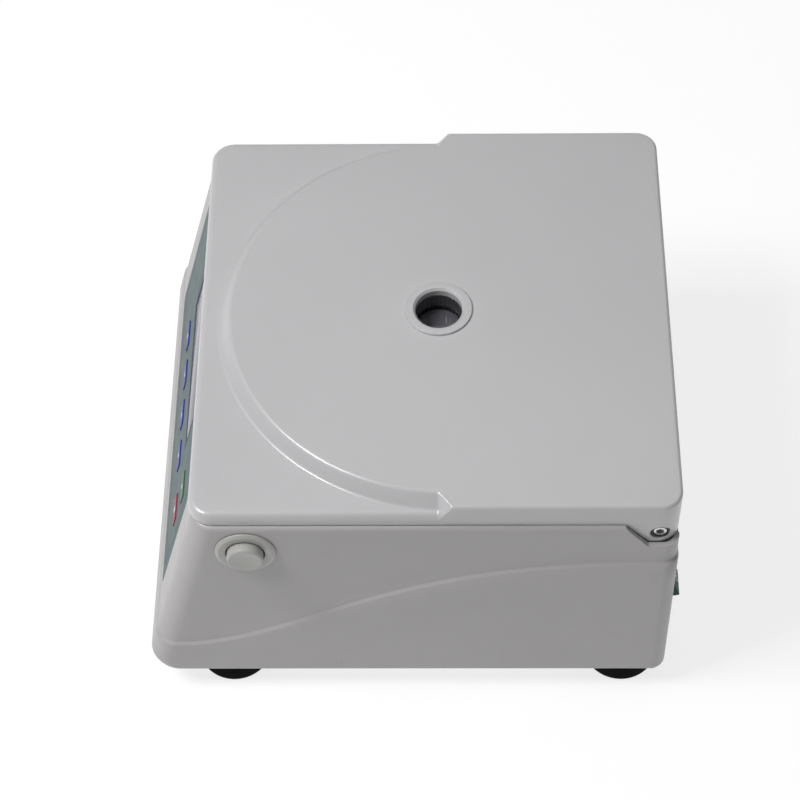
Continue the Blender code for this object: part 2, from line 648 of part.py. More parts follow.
def make_lid():
    lid = make_lid_shell()
    low = 0.1817
    profile = ((0.0176, low + 0.0015), (0.1170, low + 0.0015), (0.1170, low + 0.0065), (0.1182, low + 0.0065),
               (0.1182, low), (0.0176, low))
    liner = turned("lid_liner", profile, STEEL, steps=40, closed=True, location=(0, PORT_Y, 0))
    r = PORT_RADIUS
    top = LID_TOP
    rim = PORT_RING_RADIUS
    profile = ((r + 0.0016, top + 0.0014), (rim - 0.0006, top + 0.0014), (rim, top + 0.0009), (rim, top + GAP),
               (0.0172, top + GAP), (0.0172, 0.1905), (r, 0.1905), (r, top))
    ring = turned("viewport_ring", profile, WARM_WHITE, steps=28, closed=True, location=(0, PORT_Y, 0))
    profile = ((r, 0.1902), (0.0172, 0.1902), (0.0172, 0.1720), (r - 0.0020, 0.1720), (r - 0.0020, 0.1735),
               (r, 0.1735))
    sleeve = turned("viewport_sleeve", profile, BLACK_PLASTIC, steps=28, closed=True, location=(0, PORT_Y, 0))
    window = rod("viewport_window", (0, PORT_Y, 0.1738), (0, PORT_Y, 0.1768), r - 0.0004, CLEAR, sides=32)
    striker = block("lid_striker", (0.1165, RELEASE_Y - 0.005, 0.1460), (0.1185, RELEASE_Y + 0.005, 0.1800), ZINC)
    cut(striker, block("cut_striker_window", (0.11, RELEASE_Y - 0.003, 0.1495), (0.13, RELEASE_Y + 0.003, 0.1575),
                       cutter=True))
    join(striker, block("striker_foot", (0.1090, RELEASE_Y - 0.005, 0.1792), (0.1185, RELEASE_Y + 0.005, 0.1812),
                        cutter=True))
    screws = []
    for i in range(4):
        turn = math.radians(45.0 + 90.0 * i)
        x, y = 0.0960 * math.cos(turn), PORT_Y + 0.0960 * math.sin(turn)
        profile = ((0.0, low - GAP), (0.0036, low - GAP), (0.0036, low - 0.0016), (0.0024, low - 0.0026),
                   (0.0, low - 0.0026))
        screws.append(turned(f"lid_screw_{i + 1}", profile, STEEL, steps=10, location=(x, y, 0)))
    hang(pivot("lid_pivot", (0, HINGE_Y, HINGE_Z)), lid, liner, ring, sleeve, window, striker, *screws)


make_lid()


# Hinge

def across(side, low, high):
    """An X range on one side of the centrifuge, in rising order."""
    return sorted((side * low, side * high))


def make_hinge():
    floor, wall_top = CHANNEL_FLOOR, 0.1731
    outline = ((0.1310, wall_top), (0.1310, floor), (0.1600, floor), (0.1600, floor + 0.0020),
               (0.1330, floor + 0.0020), (0.1330, wall_top))
    prism("hinge_channel", outline, -0.1465, 0.1465, ZINC)
    front = 0.1333
    for name, side in (("left", -1), ("right", 1)):
        low_x, high_x = across(side, *BRACKET_X)
        bracket = block(f"hinge_bracket_{name}", (low_x, front, HINGE_Z - BRACKET_REACH),
                        (high_x, HINGE_Y, HINGE_Z + BRACKET_REACH), ZINC)
        join(bracket, rod(f"bracket_eye_{name}", (low_x, HINGE_Y, HINGE_Z), (high_x, HINGE_Y, HINGE_Z),
                          BRACKET_REACH, cutter=True, sides=24))
        low_x, high_x = across(side, *BRACKET_FOOT_X)
        join(bracket, block(f"bracket_foot_{name}", (low_x, front, 0.1560), (high_x, 0.1358, 0.1720),
                            cutter=True))
        cut(bracket, rod(f"cut_bracket_{name}", (side * 0.135, HINGE_Y, HINGE_Z), (side * 0.15, HINGE_Y, HINGE_Z),
                         0.0028, cutter=True, sides=16))
        bush = ((0.0046, 0.0045), (0.0057, 0.0045), (0.0057, -0.0045), (0.0029, -0.0045), (0.0029, -0.0005),
                (0.0046, -0.0005))
        screw = ((0.0, 0.0020), (0.0021, 0.0020), (0.0021, 0.0043), (0.0036, 0.0043), (0.0042, 0.0037),
                 (0.0042, 0.0), (0.0025, 0.0), (0.0025, -0.0095), (0.0, -0.0095))
        place = (side * 0.1465, HINGE_Y, HINGE_Z)
        sleeve = turned(f"hinge_bush_{name}", bush, BLACK_PLASTIC, steps=20, closed=True, location=place)
        fastener = turned(f"hinge_screw_{name}", screw, STEEL, steps=14, location=place)
        for piece in (sleeve, fastener):
            piece.rotation_euler = (0, side * math.pi / 2, 0)


make_hinge()


# Lid release

def make_release():
    y, z = RELEASE_Y, RELEASE_Z
    wall = case_half_width(z)
    tilt = math.atan((CASE_FOOT_HALF_WIDTH - CASE_TOP_HALF_WIDTH) / (DECK - BASE_BOTTOM))
    hole = RELEASE_CAP_RADIUS + 0.0009
    bezel = ((hole, 0.0016), (RELEASE_BEZEL_RADIUS - 0.0012, 0.0020), (RELEASE_BEZEL_RADIUS, 0.0010),
             (RELEASE_BEZEL_RADIUS, GAP), (hole + 0.0001, GAP), (hole + 0.0001, -0.0020), (hole - 0.0006, -0.0020))
    frame = turned("release_bezel", bezel, WARM_WHITE, steps=32, closed=True, location=(wall, y, z))
    frame.rotation_euler = (0, math.pi / 2 - tilt, 0)

    r = RELEASE_CAP_RADIUS
    face = RELEASE_FACE_X - 0.1455
    cap = ((0.0, face - 0.0008), (r * 0.6, face - 0.0004), (r - 0.0008, face), (r, face - 0.0010), (r, 0.0),
           (r - 0.0022, 0.0), (r - 0.0022, 0.0080), (0.0040, 0.0080), (0.0040, -0.0170), (0.0, -0.0170))
    button = turned("release_button", cap, WARM_WHITE, steps=28, location=(0.1455, y, z))
    button.rotation_euler = (0, math.pi / 2, 0)

    arm_low, arm_high = y + 0.0081, y + 0.0121
    slider = block("latch_slider", (0.1242, y - 0.0050, z - 0.0050), (0.1282, arm_high, z + 0.0050), ZINC)
    join(slider, block("slider_arm", (0.1040, arm_low, z - 0.0022), (0.1262, arm_high - 0.0002, z + 0.0022),
                       cutter=True))
    join(slider, block("slider_cross", (0.1038, y - 0.0022, z - 0.0018), (0.1078, arm_high - 0.0010, z + 0.0018),
                       cutter=True))
    join(slider, block("slider_tip", (0.1060, y - 0.0020, z - 0.0015), (0.1160, y + 0.0020, z + 0.0015), cutter=True))
    hang(pivot("release_axis", (RELEASE_FACE_X, y, z)), button, slider)

    bracket = block("latch_bracket", (0.1335, y - 0.0110, z - 0.0140), (0.1350, y + 0.0110, DECK - WALL - GAP), ZINC)
    join(bracket, block("bracket_flange", (0.1250, y - 0.0110, DECK - WALL - GAP - 0.0015),
                        (0.1345, y + 0.0110, DECK - WALL - GAP - 0.0001), cutter=True))
    cut(bracket, rod("cut_latch_bracket", (0.13, y, z), (0.14, y, z), 0.0048, cutter=True, sides=16))

    turns, rise, radius = 3, 0.0070, 0.0064
    curve = bpy.data.curves.new("release_spring", "CURVE")
    curve.dimensions = "3D"
    curve.bevel_depth = 0.0005
    curve.bevel_resolution = 1
    curve.use_fill_caps = True
    spline = curve.splines.new("POLY")
    count = turns * 12 + 1
    spline.points.add(count - 1)
    for i, point in enumerate(spline.points):
        angle = math.tau * i / 12
        point.co = (rise * i / (count - 1), radius * math.cos(angle), radius * math.sin(angle), 1.0)
    curve.materials.append(finish("release_spring", *STEEL))
    spring = bpy.data.objects.new("release_spring", curve)
    spring.location = (0.1357, y, z)
    parts.objects.link(spring)

    block("lid_switch", (0.1290, y - 0.0312, 0.1500), (0.1400, y - 0.0130, 0.1640), BLACK_PLASTIC, bevel=0.0006)


make_release()


# Control panel

def make_panel():
    end = PANEL_START + PANEL_LENGTH
    out = (-OVERLAY_THICKNESS, 0.0)
    width = (-PANEL_HALF_WIDTH, PANEL_HALF_WIDTH)
    overlay = panel_block("control_panel", width, (PANEL_START, end), out, PANEL_GREY)
    lcd_x, lcd_along = (-0.0560, 0.0560), (0.0160, 0.0500)
    cut(overlay, panel_block("cut_lcd", (lcd_x[0] - GAP, lcd_x[1] + GAP),
                             (lcd_along[0] - GAP, lcd_along[1] + GAP), (-0.01, 0.01), cutter=True))
    panel_block("lcd_window", lcd_x, lcd_along, (-0.0018, -0.0002), GLASS_NAVY)
    keys = [(f"key_{i + 1}", -0.0530 + 0.0333 * i, 0.0800, KEY_BLUE) for i in range(4)]
    keys += [("key_start", 0.0930, 0.0470, KEY_GREEN), ("key_stop", 0.0900, 0.0790, KEY_RED)]
    for name, x, along, colour in keys:
        spread = (x - KEY_WIDTH / 2, x + KEY_WIDTH / 2)
        reach = (along - KEY_HEIGHT / 2, along + KEY_HEIGHT / 2)
        cut(overlay, panel_block("cut_" + name, (spread[0] - GAP, spread[1] + GAP),
                                 (reach[0] - GAP, reach[1] + GAP), (-0.01, 0.01), cutter=True))
        key = panel_block(name, spread, reach, (0.0008 - KEY_THICKNESS, 0.0008), colour, bevel=0.0004)
        hang(pivot(name + "_axis", key.location), key)
    panel_block("display_board", (-0.1000, 0.1000), (0.0180, 0.0920), (-0.0100, -0.0084), BOARD_GREEN)
    board = bpy.data.objects["display_board"]
    join(board, panel_block("board_display", (-0.0500, 0.0500), (0.0200, 0.0470), (-0.0088, -0.0025), cutter=True))


make_panel()


# Electronics inside the case

def make_electronics():
    board = block("drive_board", (-0.1400, -0.1350, 0.0330), (-0.0500, -0.0450, 0.0346), BOARD_GREEN)
    join(board, block("board_heatsink", (-0.1300, -0.1300, 0.0340), (-0.0900, -0.1160, 0.0560), cutter=True))
    join(board, rod("board_capacitor", (-0.0700, -0.1180, 0.0340), (-0.0700, -0.1180, 0.0600), 0.0090,
                    cutter=True, sides=16))
    join(board, block("board_relay", (-0.0820, -0.0800, 0.0340), (-0.0620, -0.0640, 0.0500), cutter=True))
    for i in range(4):
        x = -0.1350 + 0.0800 * (i % 2)
        y = -0.1300 + 0.0800 * (i // 2)
        join(board, rod(f"board_spacer_{i}", (x, y, 0.0233), (x, y, 0.0340), 0.0030, cutter=True, sides=8))
    core = block("transformer", (0.0560, -0.1280, 0.0233), (0.1180, -0.0760, 0.0600), ZINC, bevel=0.0008)
    join(core, block("transformer_coil", (0.0660, -0.1350, 0.0300), (0.1080, -0.0690, 0.0540), cutter=True))
    tube("display_lead", (on_panel(-0.06, 0.084, -0.0135), (-0.0600, -0.1390, 0.0620), (-0.0650, -0.1410, 0.0480),
                          (-0.0800, -0.1400, 0.0370), (-0.0850, -0.1380, 0.0352)), 0.0020, CABLE_GREY)
    tube("mains_lead", ((INLET_X, 0.1370, INLET_Z), (INLET_X + 0.004, 0.1280, INLET_Z - 0.014),
                        (0.0960, 0.0900, 0.0330), (0.1100, 0.0200, 0.0300), (0.1080, -0.0400, 0.0320),
                        (0.0900, -0.0560, 0.0380), (0.0870, -0.0650, 0.0400)), 0.0030, CABLE_GREY)
    tube("motor_lead", ((-0.0346, PORT_Y - 0.006, 0.0360), (-0.0420, PORT_Y - 0.010, 0.0350),
                        (-0.0620, -0.0050, 0.0360), (-0.0700, -0.0250, 0.0390), (-0.0720, -0.0400, 0.0390),
                        (-0.0740, -0.0630, 0.0480)), 0.0022, CABLE_GREY)


make_electronics()


# Rear fittings

def make_rear_panel():
    """The plate that carries the rear fittings: a lip behind the wall and a raised part flush with it."""
    (left, right), (low, high) = REAR_PANEL_X, REAR_PANEL_Z
    lip, inside = REAR_PANEL_LIP, REAR_INSIDE - GAP
    panel = block("rear_panel", (left - lip, inside - 0.0020, low - lip), (right + lip, inside, high + lip),
                  OFF_WHITE)
    join(panel, block("rear_panel_face", (left + GAP, inside - 0.0001, low + GAP),
                      (right - GAP, REAR_WALL, high - GAP), cutter=True))
    cut(panel, block("cut_rocker_hole", (ROCKER_X - 0.0112, 0.15, ROCKER_Z - 0.0142),
                     (ROCKER_X + 0.0112, 0.18, ROCKER_Z + 0.0142), cutter=True))
    cut(panel, block("cut_inlet_hole", (INLET_X - 0.0140, 0.15, INLET_Z - 0.0104),
                     (INLET_X + 0.0140, 0.18, INLET_Z + 0.0104), cutter=True))
    cut(panel, rod("cut_fuse_hole", (FUSE_X, 0.15, INLET_Z), (FUSE_X, 0.18, INLET_Z), 0.0066,
                   cutter=True, sides=16))


def make_inlet():
    """The mains inlet's open body, and the back that holds its pins."""
    half_x, half_z = INLET_HALF_SIZE
    back = 0.1440
    inlet = block("power_inlet", (INLET_X - half_x, back + GAP, INLET_Z - half_z),
                  (INLET_X + half_x, REAR_WALL + 0.0010, INLET_Z + half_z), BLACK_PLASTIC)
    join(inlet, block("inlet_flange", (INLET_X - 0.0245, REAR_WALL + GAP, INLET_Z - 0.0118),
                      (INLET_X + 0.0245, REAR_WALL + 0.0027, INLET_Z + 0.0118), cutter=True, bevel=0.0005))
    cut(inlet, block("cut_inlet_socket", (INLET_X - 0.0120, 0.1400, INLET_Z - 0.0082),
                     (INLET_X + 0.0120, 0.1800, INLET_Z + 0.0082), cutter=True))
    pins = block("inlet_pins", (INLET_X - half_x, back - 0.0040, INLET_Z - half_z),
                 (INLET_X + half_x, back, INLET_Z + half_z), BLACK_PLASTIC)
    for i, rise in enumerate((-0.0015, 0.0015, -0.0015)):
        x, z = INLET_X + 0.0070 * (i - 1), INLET_Z + rise
        join(pins, block(f"inlet_pin_{i}", (x - 0.0010, back - 0.0010, z - 0.0020),
                         (x + 0.0010, REAR_WALL, z + 0.0020), cutter=True))


def make_rear():
    fuse = ((0.0, 0.0070), (0.0060, 0.0070), (0.0065, 0.0062), (0.0065, 0.0030), (0.0085, 0.0025),
            (0.0085, GAP), (0.0062, GAP), (0.0062, -0.0300), (0.0, -0.0300))
    holder = turned("fuse_holder", fuse, BLACK_PLASTIC, steps=16, location=(FUSE_X, REAR_WALL, INLET_Z))
    holder.rotation_euler = (-math.pi / 2, 0, 0)

    body = block("rocker_housing", (ROCKER_X - 0.0109, 0.1420, ROCKER_Z - 0.0139),
                 (ROCKER_X + 0.0109, REAR_WALL + 0.0010, ROCKER_Z + 0.0139), BLACK_PLASTIC)
    join(body, block("rocker_flange", (ROCKER_X - 0.0130, REAR_WALL + GAP, ROCKER_Z - 0.0160),
                     (ROCKER_X + 0.0130, REAR_WALL + 0.0023, ROCKER_Z + 0.0160), cutter=True, bevel=0.0004))
    cut(body, block("cut_rocker_well", (ROCKER_X - 0.0100, 0.1500, ROCKER_Z - 0.0131),
                    (ROCKER_X + 0.0100, 0.1800, ROCKER_Z + 0.0131), cutter=True))
    axis_y = REAR_WALL + 0.0030
    upright = ((0.0018, 0.0), (0.0033, 0.0118), (0.0, 0.0121), (-0.0040, 0.0115), (-0.0090, 0.0060),
               (-0.0090, -0.0060), (-0.0040, -0.0115), (0.0, -0.0121), (0.0033, -0.0118))
    cos, sin = math.cos(ROCKER_TILT), math.sin(ROCKER_TILT)
    outline = [(axis_y + y * cos - z * sin, ROCKER_Z + y * sin + z * cos) for y, z in upright]
    rocker = prism("power_rocker", outline, ROCKER_X - 0.0097, ROCKER_X + 0.0097, ROCKER_GREEN)
    hang(pivot("rocker_pivot", (ROCKER_X, axis_y, ROCKER_Z)), rocker)


make_rear_panel()
make_inlet()
make_rear()
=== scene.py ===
"""Looks of the benchtop centrifuge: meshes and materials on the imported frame, with studio and camera.

Metres, +Z up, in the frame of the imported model. The panel faces -Y, the hinge is at +Y, and the release
button and the camera are on the +X side.
"""

import json
import math

import bmesh
import bpy
from mathutils import Matrix, Vector


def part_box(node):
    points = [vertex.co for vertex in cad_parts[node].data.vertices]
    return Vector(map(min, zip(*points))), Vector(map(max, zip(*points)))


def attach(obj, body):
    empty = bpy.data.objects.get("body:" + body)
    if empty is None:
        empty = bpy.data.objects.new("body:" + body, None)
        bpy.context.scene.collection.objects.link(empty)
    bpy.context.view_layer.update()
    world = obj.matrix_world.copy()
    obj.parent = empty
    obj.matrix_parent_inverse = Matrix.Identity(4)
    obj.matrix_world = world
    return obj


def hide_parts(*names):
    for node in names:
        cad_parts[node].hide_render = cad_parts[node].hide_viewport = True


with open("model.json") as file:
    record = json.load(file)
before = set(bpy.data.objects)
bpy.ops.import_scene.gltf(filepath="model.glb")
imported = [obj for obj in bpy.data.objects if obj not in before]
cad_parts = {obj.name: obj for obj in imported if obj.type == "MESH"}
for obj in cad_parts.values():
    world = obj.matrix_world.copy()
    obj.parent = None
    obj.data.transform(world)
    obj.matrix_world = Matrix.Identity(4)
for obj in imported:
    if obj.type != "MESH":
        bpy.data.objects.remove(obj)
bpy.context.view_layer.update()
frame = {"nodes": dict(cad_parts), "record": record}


def middle(node):
    low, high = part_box(node)
    return (low + high) / 2


def extent(node):
    low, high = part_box(node)
    return high - low


# Places read from the frame

lid_low, lid_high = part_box("lid_shell")
case_low, case_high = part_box("base_housing")
bowl_high, ring_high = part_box("chamber_bowl")[1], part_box("viewport_ring")[1]
window_low, window_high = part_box("viewport_window")

LID_HALF_WIDTH = lid_high.x
LID_FRONT, LID_REAR = lid_low.y, lid_high.y
LID_TOP, EAR_BOTTOM = lid_high.z, lid_low.z
DECK, BASE_BOTTOM = case_high.z, case_low.z
AXIS_Y = middle("rotor").y
ON_AXIS = Matrix.Translation((0, AXIS_Y, 0))
HINGE_Y, HINGE_Z = middle("hinge_bush_right").y, middle("hinge_bush_right").z
RELEASE_Y, RELEASE_Z = middle("release_button").y, middle("release_button").z
ROCKER_X, ROCKER_Z = middle("rocker_housing").x, middle("rocker_housing").z
INLET_X, INLET_Z = middle("power_inlet").x, middle("power_inlet").z
FUSE_X = middle("fuse_holder").x
REAR_PLATE = middle("rear_panel")

# Design dimensions shared with the CAD

LID_BOTTOM = DECK + 0.0003
LID_SHOULDER = LID_TOP - 0.0085
LID_FRONT_CORNER, LID_REAR_CORNER = 0.015, 0.014
LID_FILLET, RAISED_FILLET = 0.0045, 0.0024
LID_WALL = 0.003
BOSS_Y = 0.02335
BOSS_TOP_RADIUS, BOSS_FOOT_RADIUS = 0.1405, 0.1478
FACET_POINT = (0.1405, 0.01585)
FACET_SLOPE = (-1.214, 1.538)
EAR_FRONT, EAR_FOOT_FRONT = 0.12895, 0.14375
EAR_HOLE_RADIUS = 0.0061
PORT_HOLE_RADIUS = 0.0176
FLUTES, FLUTE_DEPTH = 28, 0.00035

CASE_TOP_HALF_WIDTH, CASE_FOOT_HALF_WIDTH = 0.155, 0.1616
CASE_REAR = 0.16345
CASE_WALL = 0.0034
CASE_REAR_CORNER = 0.01
CASE_FRONT_CORNER = 0.0145
CASE_FILLET = 0.003
LEDGE, LEDGE_REAR, LEDGE_HALF_HEIGHT = 0.0024, 0.0008, 0.0012
LEDGE_CURVE = ((-0.1587, 0.0505), (-0.0717, 0.0505), (-0.0317, 0.141), (0.1433, 0.141))
NOSE_RADIUS, NOSE_FRONT = 0.01, -0.17215
PANEL_LEAN = math.radians(14.3)
REAR_WALL = CASE_REAR + LEDGE_REAR
REAR_PLATE_LIP = 0.004
REAR_PLATE_HALF_WIDTH = extent("rear_panel").x / 2 - REAR_PLATE_LIP
REAR_PLATE_HALF_HEIGHT = extent("rear_panel").z / 2 - REAR_PLATE_LIP

PANEL_HALF_WIDTH = 0.12
PANEL_START, PANEL_END = 0.003, 0.123
FILM_THICKNESS = 0.0008
GAP = 0.0003
KEY_SIZE = (0.02, 0.0115)
LCD_HALF_WIDTH, LCD_START, LCD_END = 0.056, 0.016, 0.05
ROCKER_TILT = math.radians(12)
SMOOTH_ANGLE = 42.0


# Small geometry tools

def lerp(a, b, t):
    return a + (b - a) * t


def soft_max(a, b, width):
    """The larger of two numbers, with a round join where they meet."""
    if width <= 0:
        return max(a, b)
    return max(a, b) + max(width - abs(a - b), 0.0) ** 2 / (4 * width)


def soft_min(a, b, width):
    return -soft_max(-a, -b, width)


def soft_ramp(t, width=0.3):
    """0 to 1 in a straight ramp with round ends."""
    return soft_min(soft_max(t, 0.0, width), 1.0, width)


def graded(low, high, coarse, fine, spans):
    """Values from low to high in coarse steps, and in fine ones inside the spans."""
    values = [low]
    while values[-1] < high - 1e-6:
        here = values[-1]
        step = fine if any(a - 1e-6 <= here < b - 1e-6 for a, b in spans) else coarse
        stops = [edge for span in spans for edge in span if edge > here + 1e-6] + [high]
        values.append(min(here + step, min(stops)))
    return values


def rounded(points, steps=4):
    """An outline with round corners: each point is (a, b) or (a, b, radius)."""
    outline = []
    count = len(points)
    for i, point in enumerate(points):
        here = Vector(point[:2])
        radius = point[2] if len(point) > 2 else 0.0
        if radius <= 0:
            outline.append(here)
            continue
        before = Vector(points[i - 1][:2]) - here
        after = Vector(points[(i + 1) % count][:2]) - here
        half = before.angle(after) / 2
        reach = min(radius / math.tan(half), 0.49 * before.length, 0.49 * after.length)
        radius = reach * math.tan(half)
        centre = here + (before.normalized() + after.normalized()).normalized() * (radius / math.sin(half))
        start = here + before.normalized() * reach - centre
        end = here + after.normalized() * reach - centre
        first = math.atan2(start.y, start.x)
        sweep = (math.atan2(end.y, end.x) - first + math.pi) % math.tau - math.pi
        for k in range(steps + 1):
            turn = first + sweep * k / steps
            outline.append(centre + radius * Vector((math.cos(turn), math.sin(turn))))
    return outline


def rectangle(half_width, half_height, radius, steps=5, centre=(0.0, 0.0)):
    """An anticlockwise rounded rectangle."""
    x, y = centre
    corners = ((1, -1), (1, 1), (-1, 1), (-1, -1))
    return rounded([(x + sx * half_width, y + sy * half_height, radius) for sx, sy in corners], steps)


def circle(radius, steps=48, centre=(0.0, 0.0)):
    return [Vector((centre[0] + radius * math.cos(math.tau * i / steps),
                    centre[1] + radius * math.sin(math.tau * i / steps))) for i in range(steps)]


def quarter(start, steps):
    """Unit vectors over 90 degrees from a heading in degrees."""
    turns = [math.radians(start + 90 * i / steps) for i in range(steps + 1)]
    return [Vector((math.cos(t), math.sin(t))) for t in turns]


def inset(outline, distance):
    """An anticlockwise outline moved inwards along its normals."""
    moved = []
    count = len(outline)
    for i, point in enumerate(outline):
        along = outline[(i + 1) % count] - outline[i - 1]
        if along.length < 1e-9:
            along = Vector((1, 0))
        moved.append(point + Vector((-along.y, along.x)).normalized() * distance)
    return moved


def skin(rows, cap_low=False, cap_high=False, closed=False):
    """A bmesh over rows of points; a row of one point is a pole."""
    bm = bmesh.new()
    made = [[bm.verts.new(point) for point in row] for row in rows]
    pairs = list(zip(made, made[1:]))
    if closed:
        pairs.append((made[-1], made[0]))
    for low, high in pairs:
        count = max(len(low), len(high))
        for i in range(count):
            j = (i + 1) % count
            corners = [low[i % len(low)], low[j % len(low)], high[j % len(high)], high[i % len(high)]]
            face = list(dict.fromkeys(corners))
            if len(face) > 2:
                bm.faces.new(face)
    if cap_low:
        bm.faces.new(list(reversed(made[0])))
    if cap_high:
        bm.faces.new(made[-1])
    return bm


def turned(profile, steps=96):
    """A turned bmesh about Z from a closed profile of (radius, height) points."""
    rows = []
    for radius, height in profile:
        if radius < 1e-6:
            rows.append([Vector((0, 0, height))])
        else:
            rows.append([Vector((p.x, p.y, height)) for p in circle(radius, steps)])
    return skin(rows, closed=True)


def plate(outline, low, high, edge=0.0, steps=3, low_edge=None):
    """An outline in X and Y with thickness along Z and round edges."""
    low_edge = edge if low_edge is None else low_edge
    rows = []
    for k in range(steps + 1):
        turn = math.pi / 2 * (1 - k / steps)
        if low_edge or k == steps:
            ring = inset(outline, low_edge * (1 - math.cos(turn)))
            rows.append([Vector((p.x, p.y, low + low_edge * (1 - math.sin(turn)))) for p in ring])
    for k in range(steps + 1):
        turn = math.pi / 2 * k / steps
        if edge or k == 0:
            ring = inset(outline, edge * (1 - math.cos(turn)))
            rows.append([Vector((p.x, p.y, high - edge * (1 - math.sin(turn)))) for p in ring])
    return skin(rows, cap_low=True, cap_high=True)


def soft_box(low, high, edge, segments=3):
    """A box between two corners with round edges."""
    low, high = Vector(low), Vector(high)
    bm = bmesh.new()
    bmesh.ops.create_cube(bm, size=1.0)
    bmesh.ops.scale(bm, vec=high - low, verts=bm.verts)
    bmesh.ops.translate(bm, vec=(low + high) / 2, verts=bm.verts)
    bmesh.ops.bevel(bm, geom=bm.edges[:], offset=edge, segments=segments, affect="EDGES", profile=0.5)
    return bm


def axes(u, v, w, origin):
    """A matrix with the given columns."""
    rows = [(u[i], v[i], w[i], origin[i]) for i in range(3)]
    return Matrix((*rows, (0, 0, 0, 1)))


def pointing(direction, origin):
    """A matrix that turns Z to a direction."""
    turn = Vector((0, 0, 1)).rotation_difference(Vector(direction)).to_matrix().to_4x4()
    return Matrix.Translation(origin) @ turn


def shade_mesh(mesh, smooth=SMOOTH_ANGLE):
    """Smooth shading, with edges over the angle kept sharp."""
    mesh.shade_smooth()
    mesh.set_sharp_from_angle(angle=math.radians(smooth))


def to_object(name, bm, place=None):
    bmesh.ops.remove_doubles(bm, verts=bm.verts, dist=1e-7)
    bmesh.ops.recalc_face_normals(bm, faces=bm.faces)
    mesh = bpy.data.meshes.new(name)
    bm.to_mesh(mesh)
    bm.free()
    shade_mesh(mesh)
    obj = bpy.data.objects.new(name, mesh)
    bpy.context.scene.collection.objects.link(obj)
    if place is not None:
        obj.matrix_world = place
    return obj


def settle(obj, smooth=SMOOTH_ANGLE):
    """Apply the object's modifiers to its mesh."""
    bpy.context.view_layer.update()
    seen = obj.evaluated_get(bpy.context.evaluated_depsgraph_get())
    mesh = bpy.data.meshes.new_from_object(seen)
    obj.modifiers.clear()
    obj.data = mesh
    mesh.name = obj.name
    shade_mesh(mesh, smooth)


def combine(obj, tools, operation="DIFFERENCE", smooth=SMOOTH_ANGLE):
    """Booleans of the tools, (bmesh, matrix) pairs, with the exact solver."""
    helpers = [to_object("tool", bm, place) for bm, place in tools]
    for helper in helpers:
        modifier = obj.modifiers.new("cut", "BOOLEAN")
        modifier.object = helper
        modifier.operation = operation
        modifier.solver = "EXACT"
    settle(obj, smooth)
    for helper in helpers:
        mesh = helper.data
        bpy.data.objects.remove(helper)
        bpy.data.meshes.remove(mesh)


def thicken(obj, thickness):
    modifier = obj.modifiers.new("wall", "SOLIDIFY")
    modifier.thickness = thickness
    modifier.offset = -1
    modifier.use_even_offset = True
    settle(obj)


def add(obj, body, slot, *nodes, look=None):
    """Give a finished object its look, named or taken from its slot, and its body, and hide the CAD nodes
    that it stands for.
    """
    obj.data.materials.clear()
    obj.data.materials.append(LOOKS[look] if look else look_of(slot))
    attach(obj, body)
    if nodes:
        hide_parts(*nodes)
    return obj


def add_turned(name, profile, steps, place, *finish, **look):
    """A turned piece with its finish, as add() takes it."""
    return add(to_object(name, turned(profile, steps), place), *finish, **look)


# Materials

class Recipe:
    """A material's node tree, built node by node."""

    def __init__(self, name, roughness, metallic=0.0):
        self.material = bpy.data.materials.new(name)
        self.material.use_nodes = True
        self.tree = self.material.node_tree
        self.shader = self.tree.nodes["Principled BSDF"]
        self.set("Roughness", roughness)
        self.set("Metallic", metallic)
        self.place = self.node("ShaderNodeTexCoord").outputs["Object"]

    def set(self, socket, value):
        self.shader.inputs[socket].default_value = value

    def node(self, kind, links=None, values=None, **settings):
        node = self.tree.nodes.new(kind)
        for key, value in settings.items():
            setattr(node, key, value)
        for key, value in (values or {}).items():
            node.inputs[key].default_value = value
        for key, source in (links or {}).items():
            self.tree.links.new(source, node.inputs[key])
        return node

    def link(self, source, socket):
        self.tree.links.new(source, self.shader.inputs[socket])

    def stretched(self, scale):
        """Object coordinates scaled by axis."""
        return self.node("ShaderNodeMapping", {"Vector": self.place}, {"Scale": scale}).outputs["Vector"]

    def lathe(self):
        """Coordinates of radius and height about Z, for turned surfaces."""
        parts = self.node("ShaderNodeSeparateXYZ", {"Vector": self.place})
        flat = self.node("ShaderNodeCombineXYZ", {"X": parts.outputs["X"], "Y": parts.outputs["Y"]})
        radius = self.node("ShaderNodeVectorMath", {0: flat.outputs["Vector"]}, operation="LENGTH")
        return self.node("ShaderNodeCombineXYZ", {"X": radius.outputs["Value"],
                                                  "Y": parts.outputs["Z"]}).outputs["Vector"]

    def noise(self, scale, detail=3.0, rough=0.5, place=None):
        values = {"Scale": scale, "Detail": detail, "Roughness": rough}
        return self.node("ShaderNodeTexNoise", {"Vector": place or self.place}, values).outputs["Fac"]

    def remap(self, source, low, high, to_low, to_high):
        values = {"From Min": low, "From Max": high, "To Min": to_low, "To Max": to_high}
        return self.node("ShaderNodeMapRange", {"Value": source}, values).outputs["Result"]

    def blend(self, share, first, second):
        """A colour mix; first and second are colours or sockets."""
        mix = self.node("ShaderNodeMix", {"Factor": share}, data_type="RGBA")
        for slot, item in (("A", first), ("B", second)):
            socket = [s for s in mix.inputs if s.name == slot and s.type == "RGBA"][0]
            if isinstance(item, bpy.types.NodeSocket):
                self.tree.links.new(item, socket)
            else:
                socket.default_value = (*item, 1.0)
        return [s for s in mix.outputs if s.type == "RGBA"][0]

    def bump(self, height, distance, strength=1.0, under=None):
        links = {"Height": height}
        if under is not None:
            links["Normal"] = under
        values = {"Distance": distance, "Strength": strength}
        return self.node("ShaderNodeBump", links, values).outputs["Normal"]


def shade(colour, share):
    return tuple(channel * share for channel in colour)


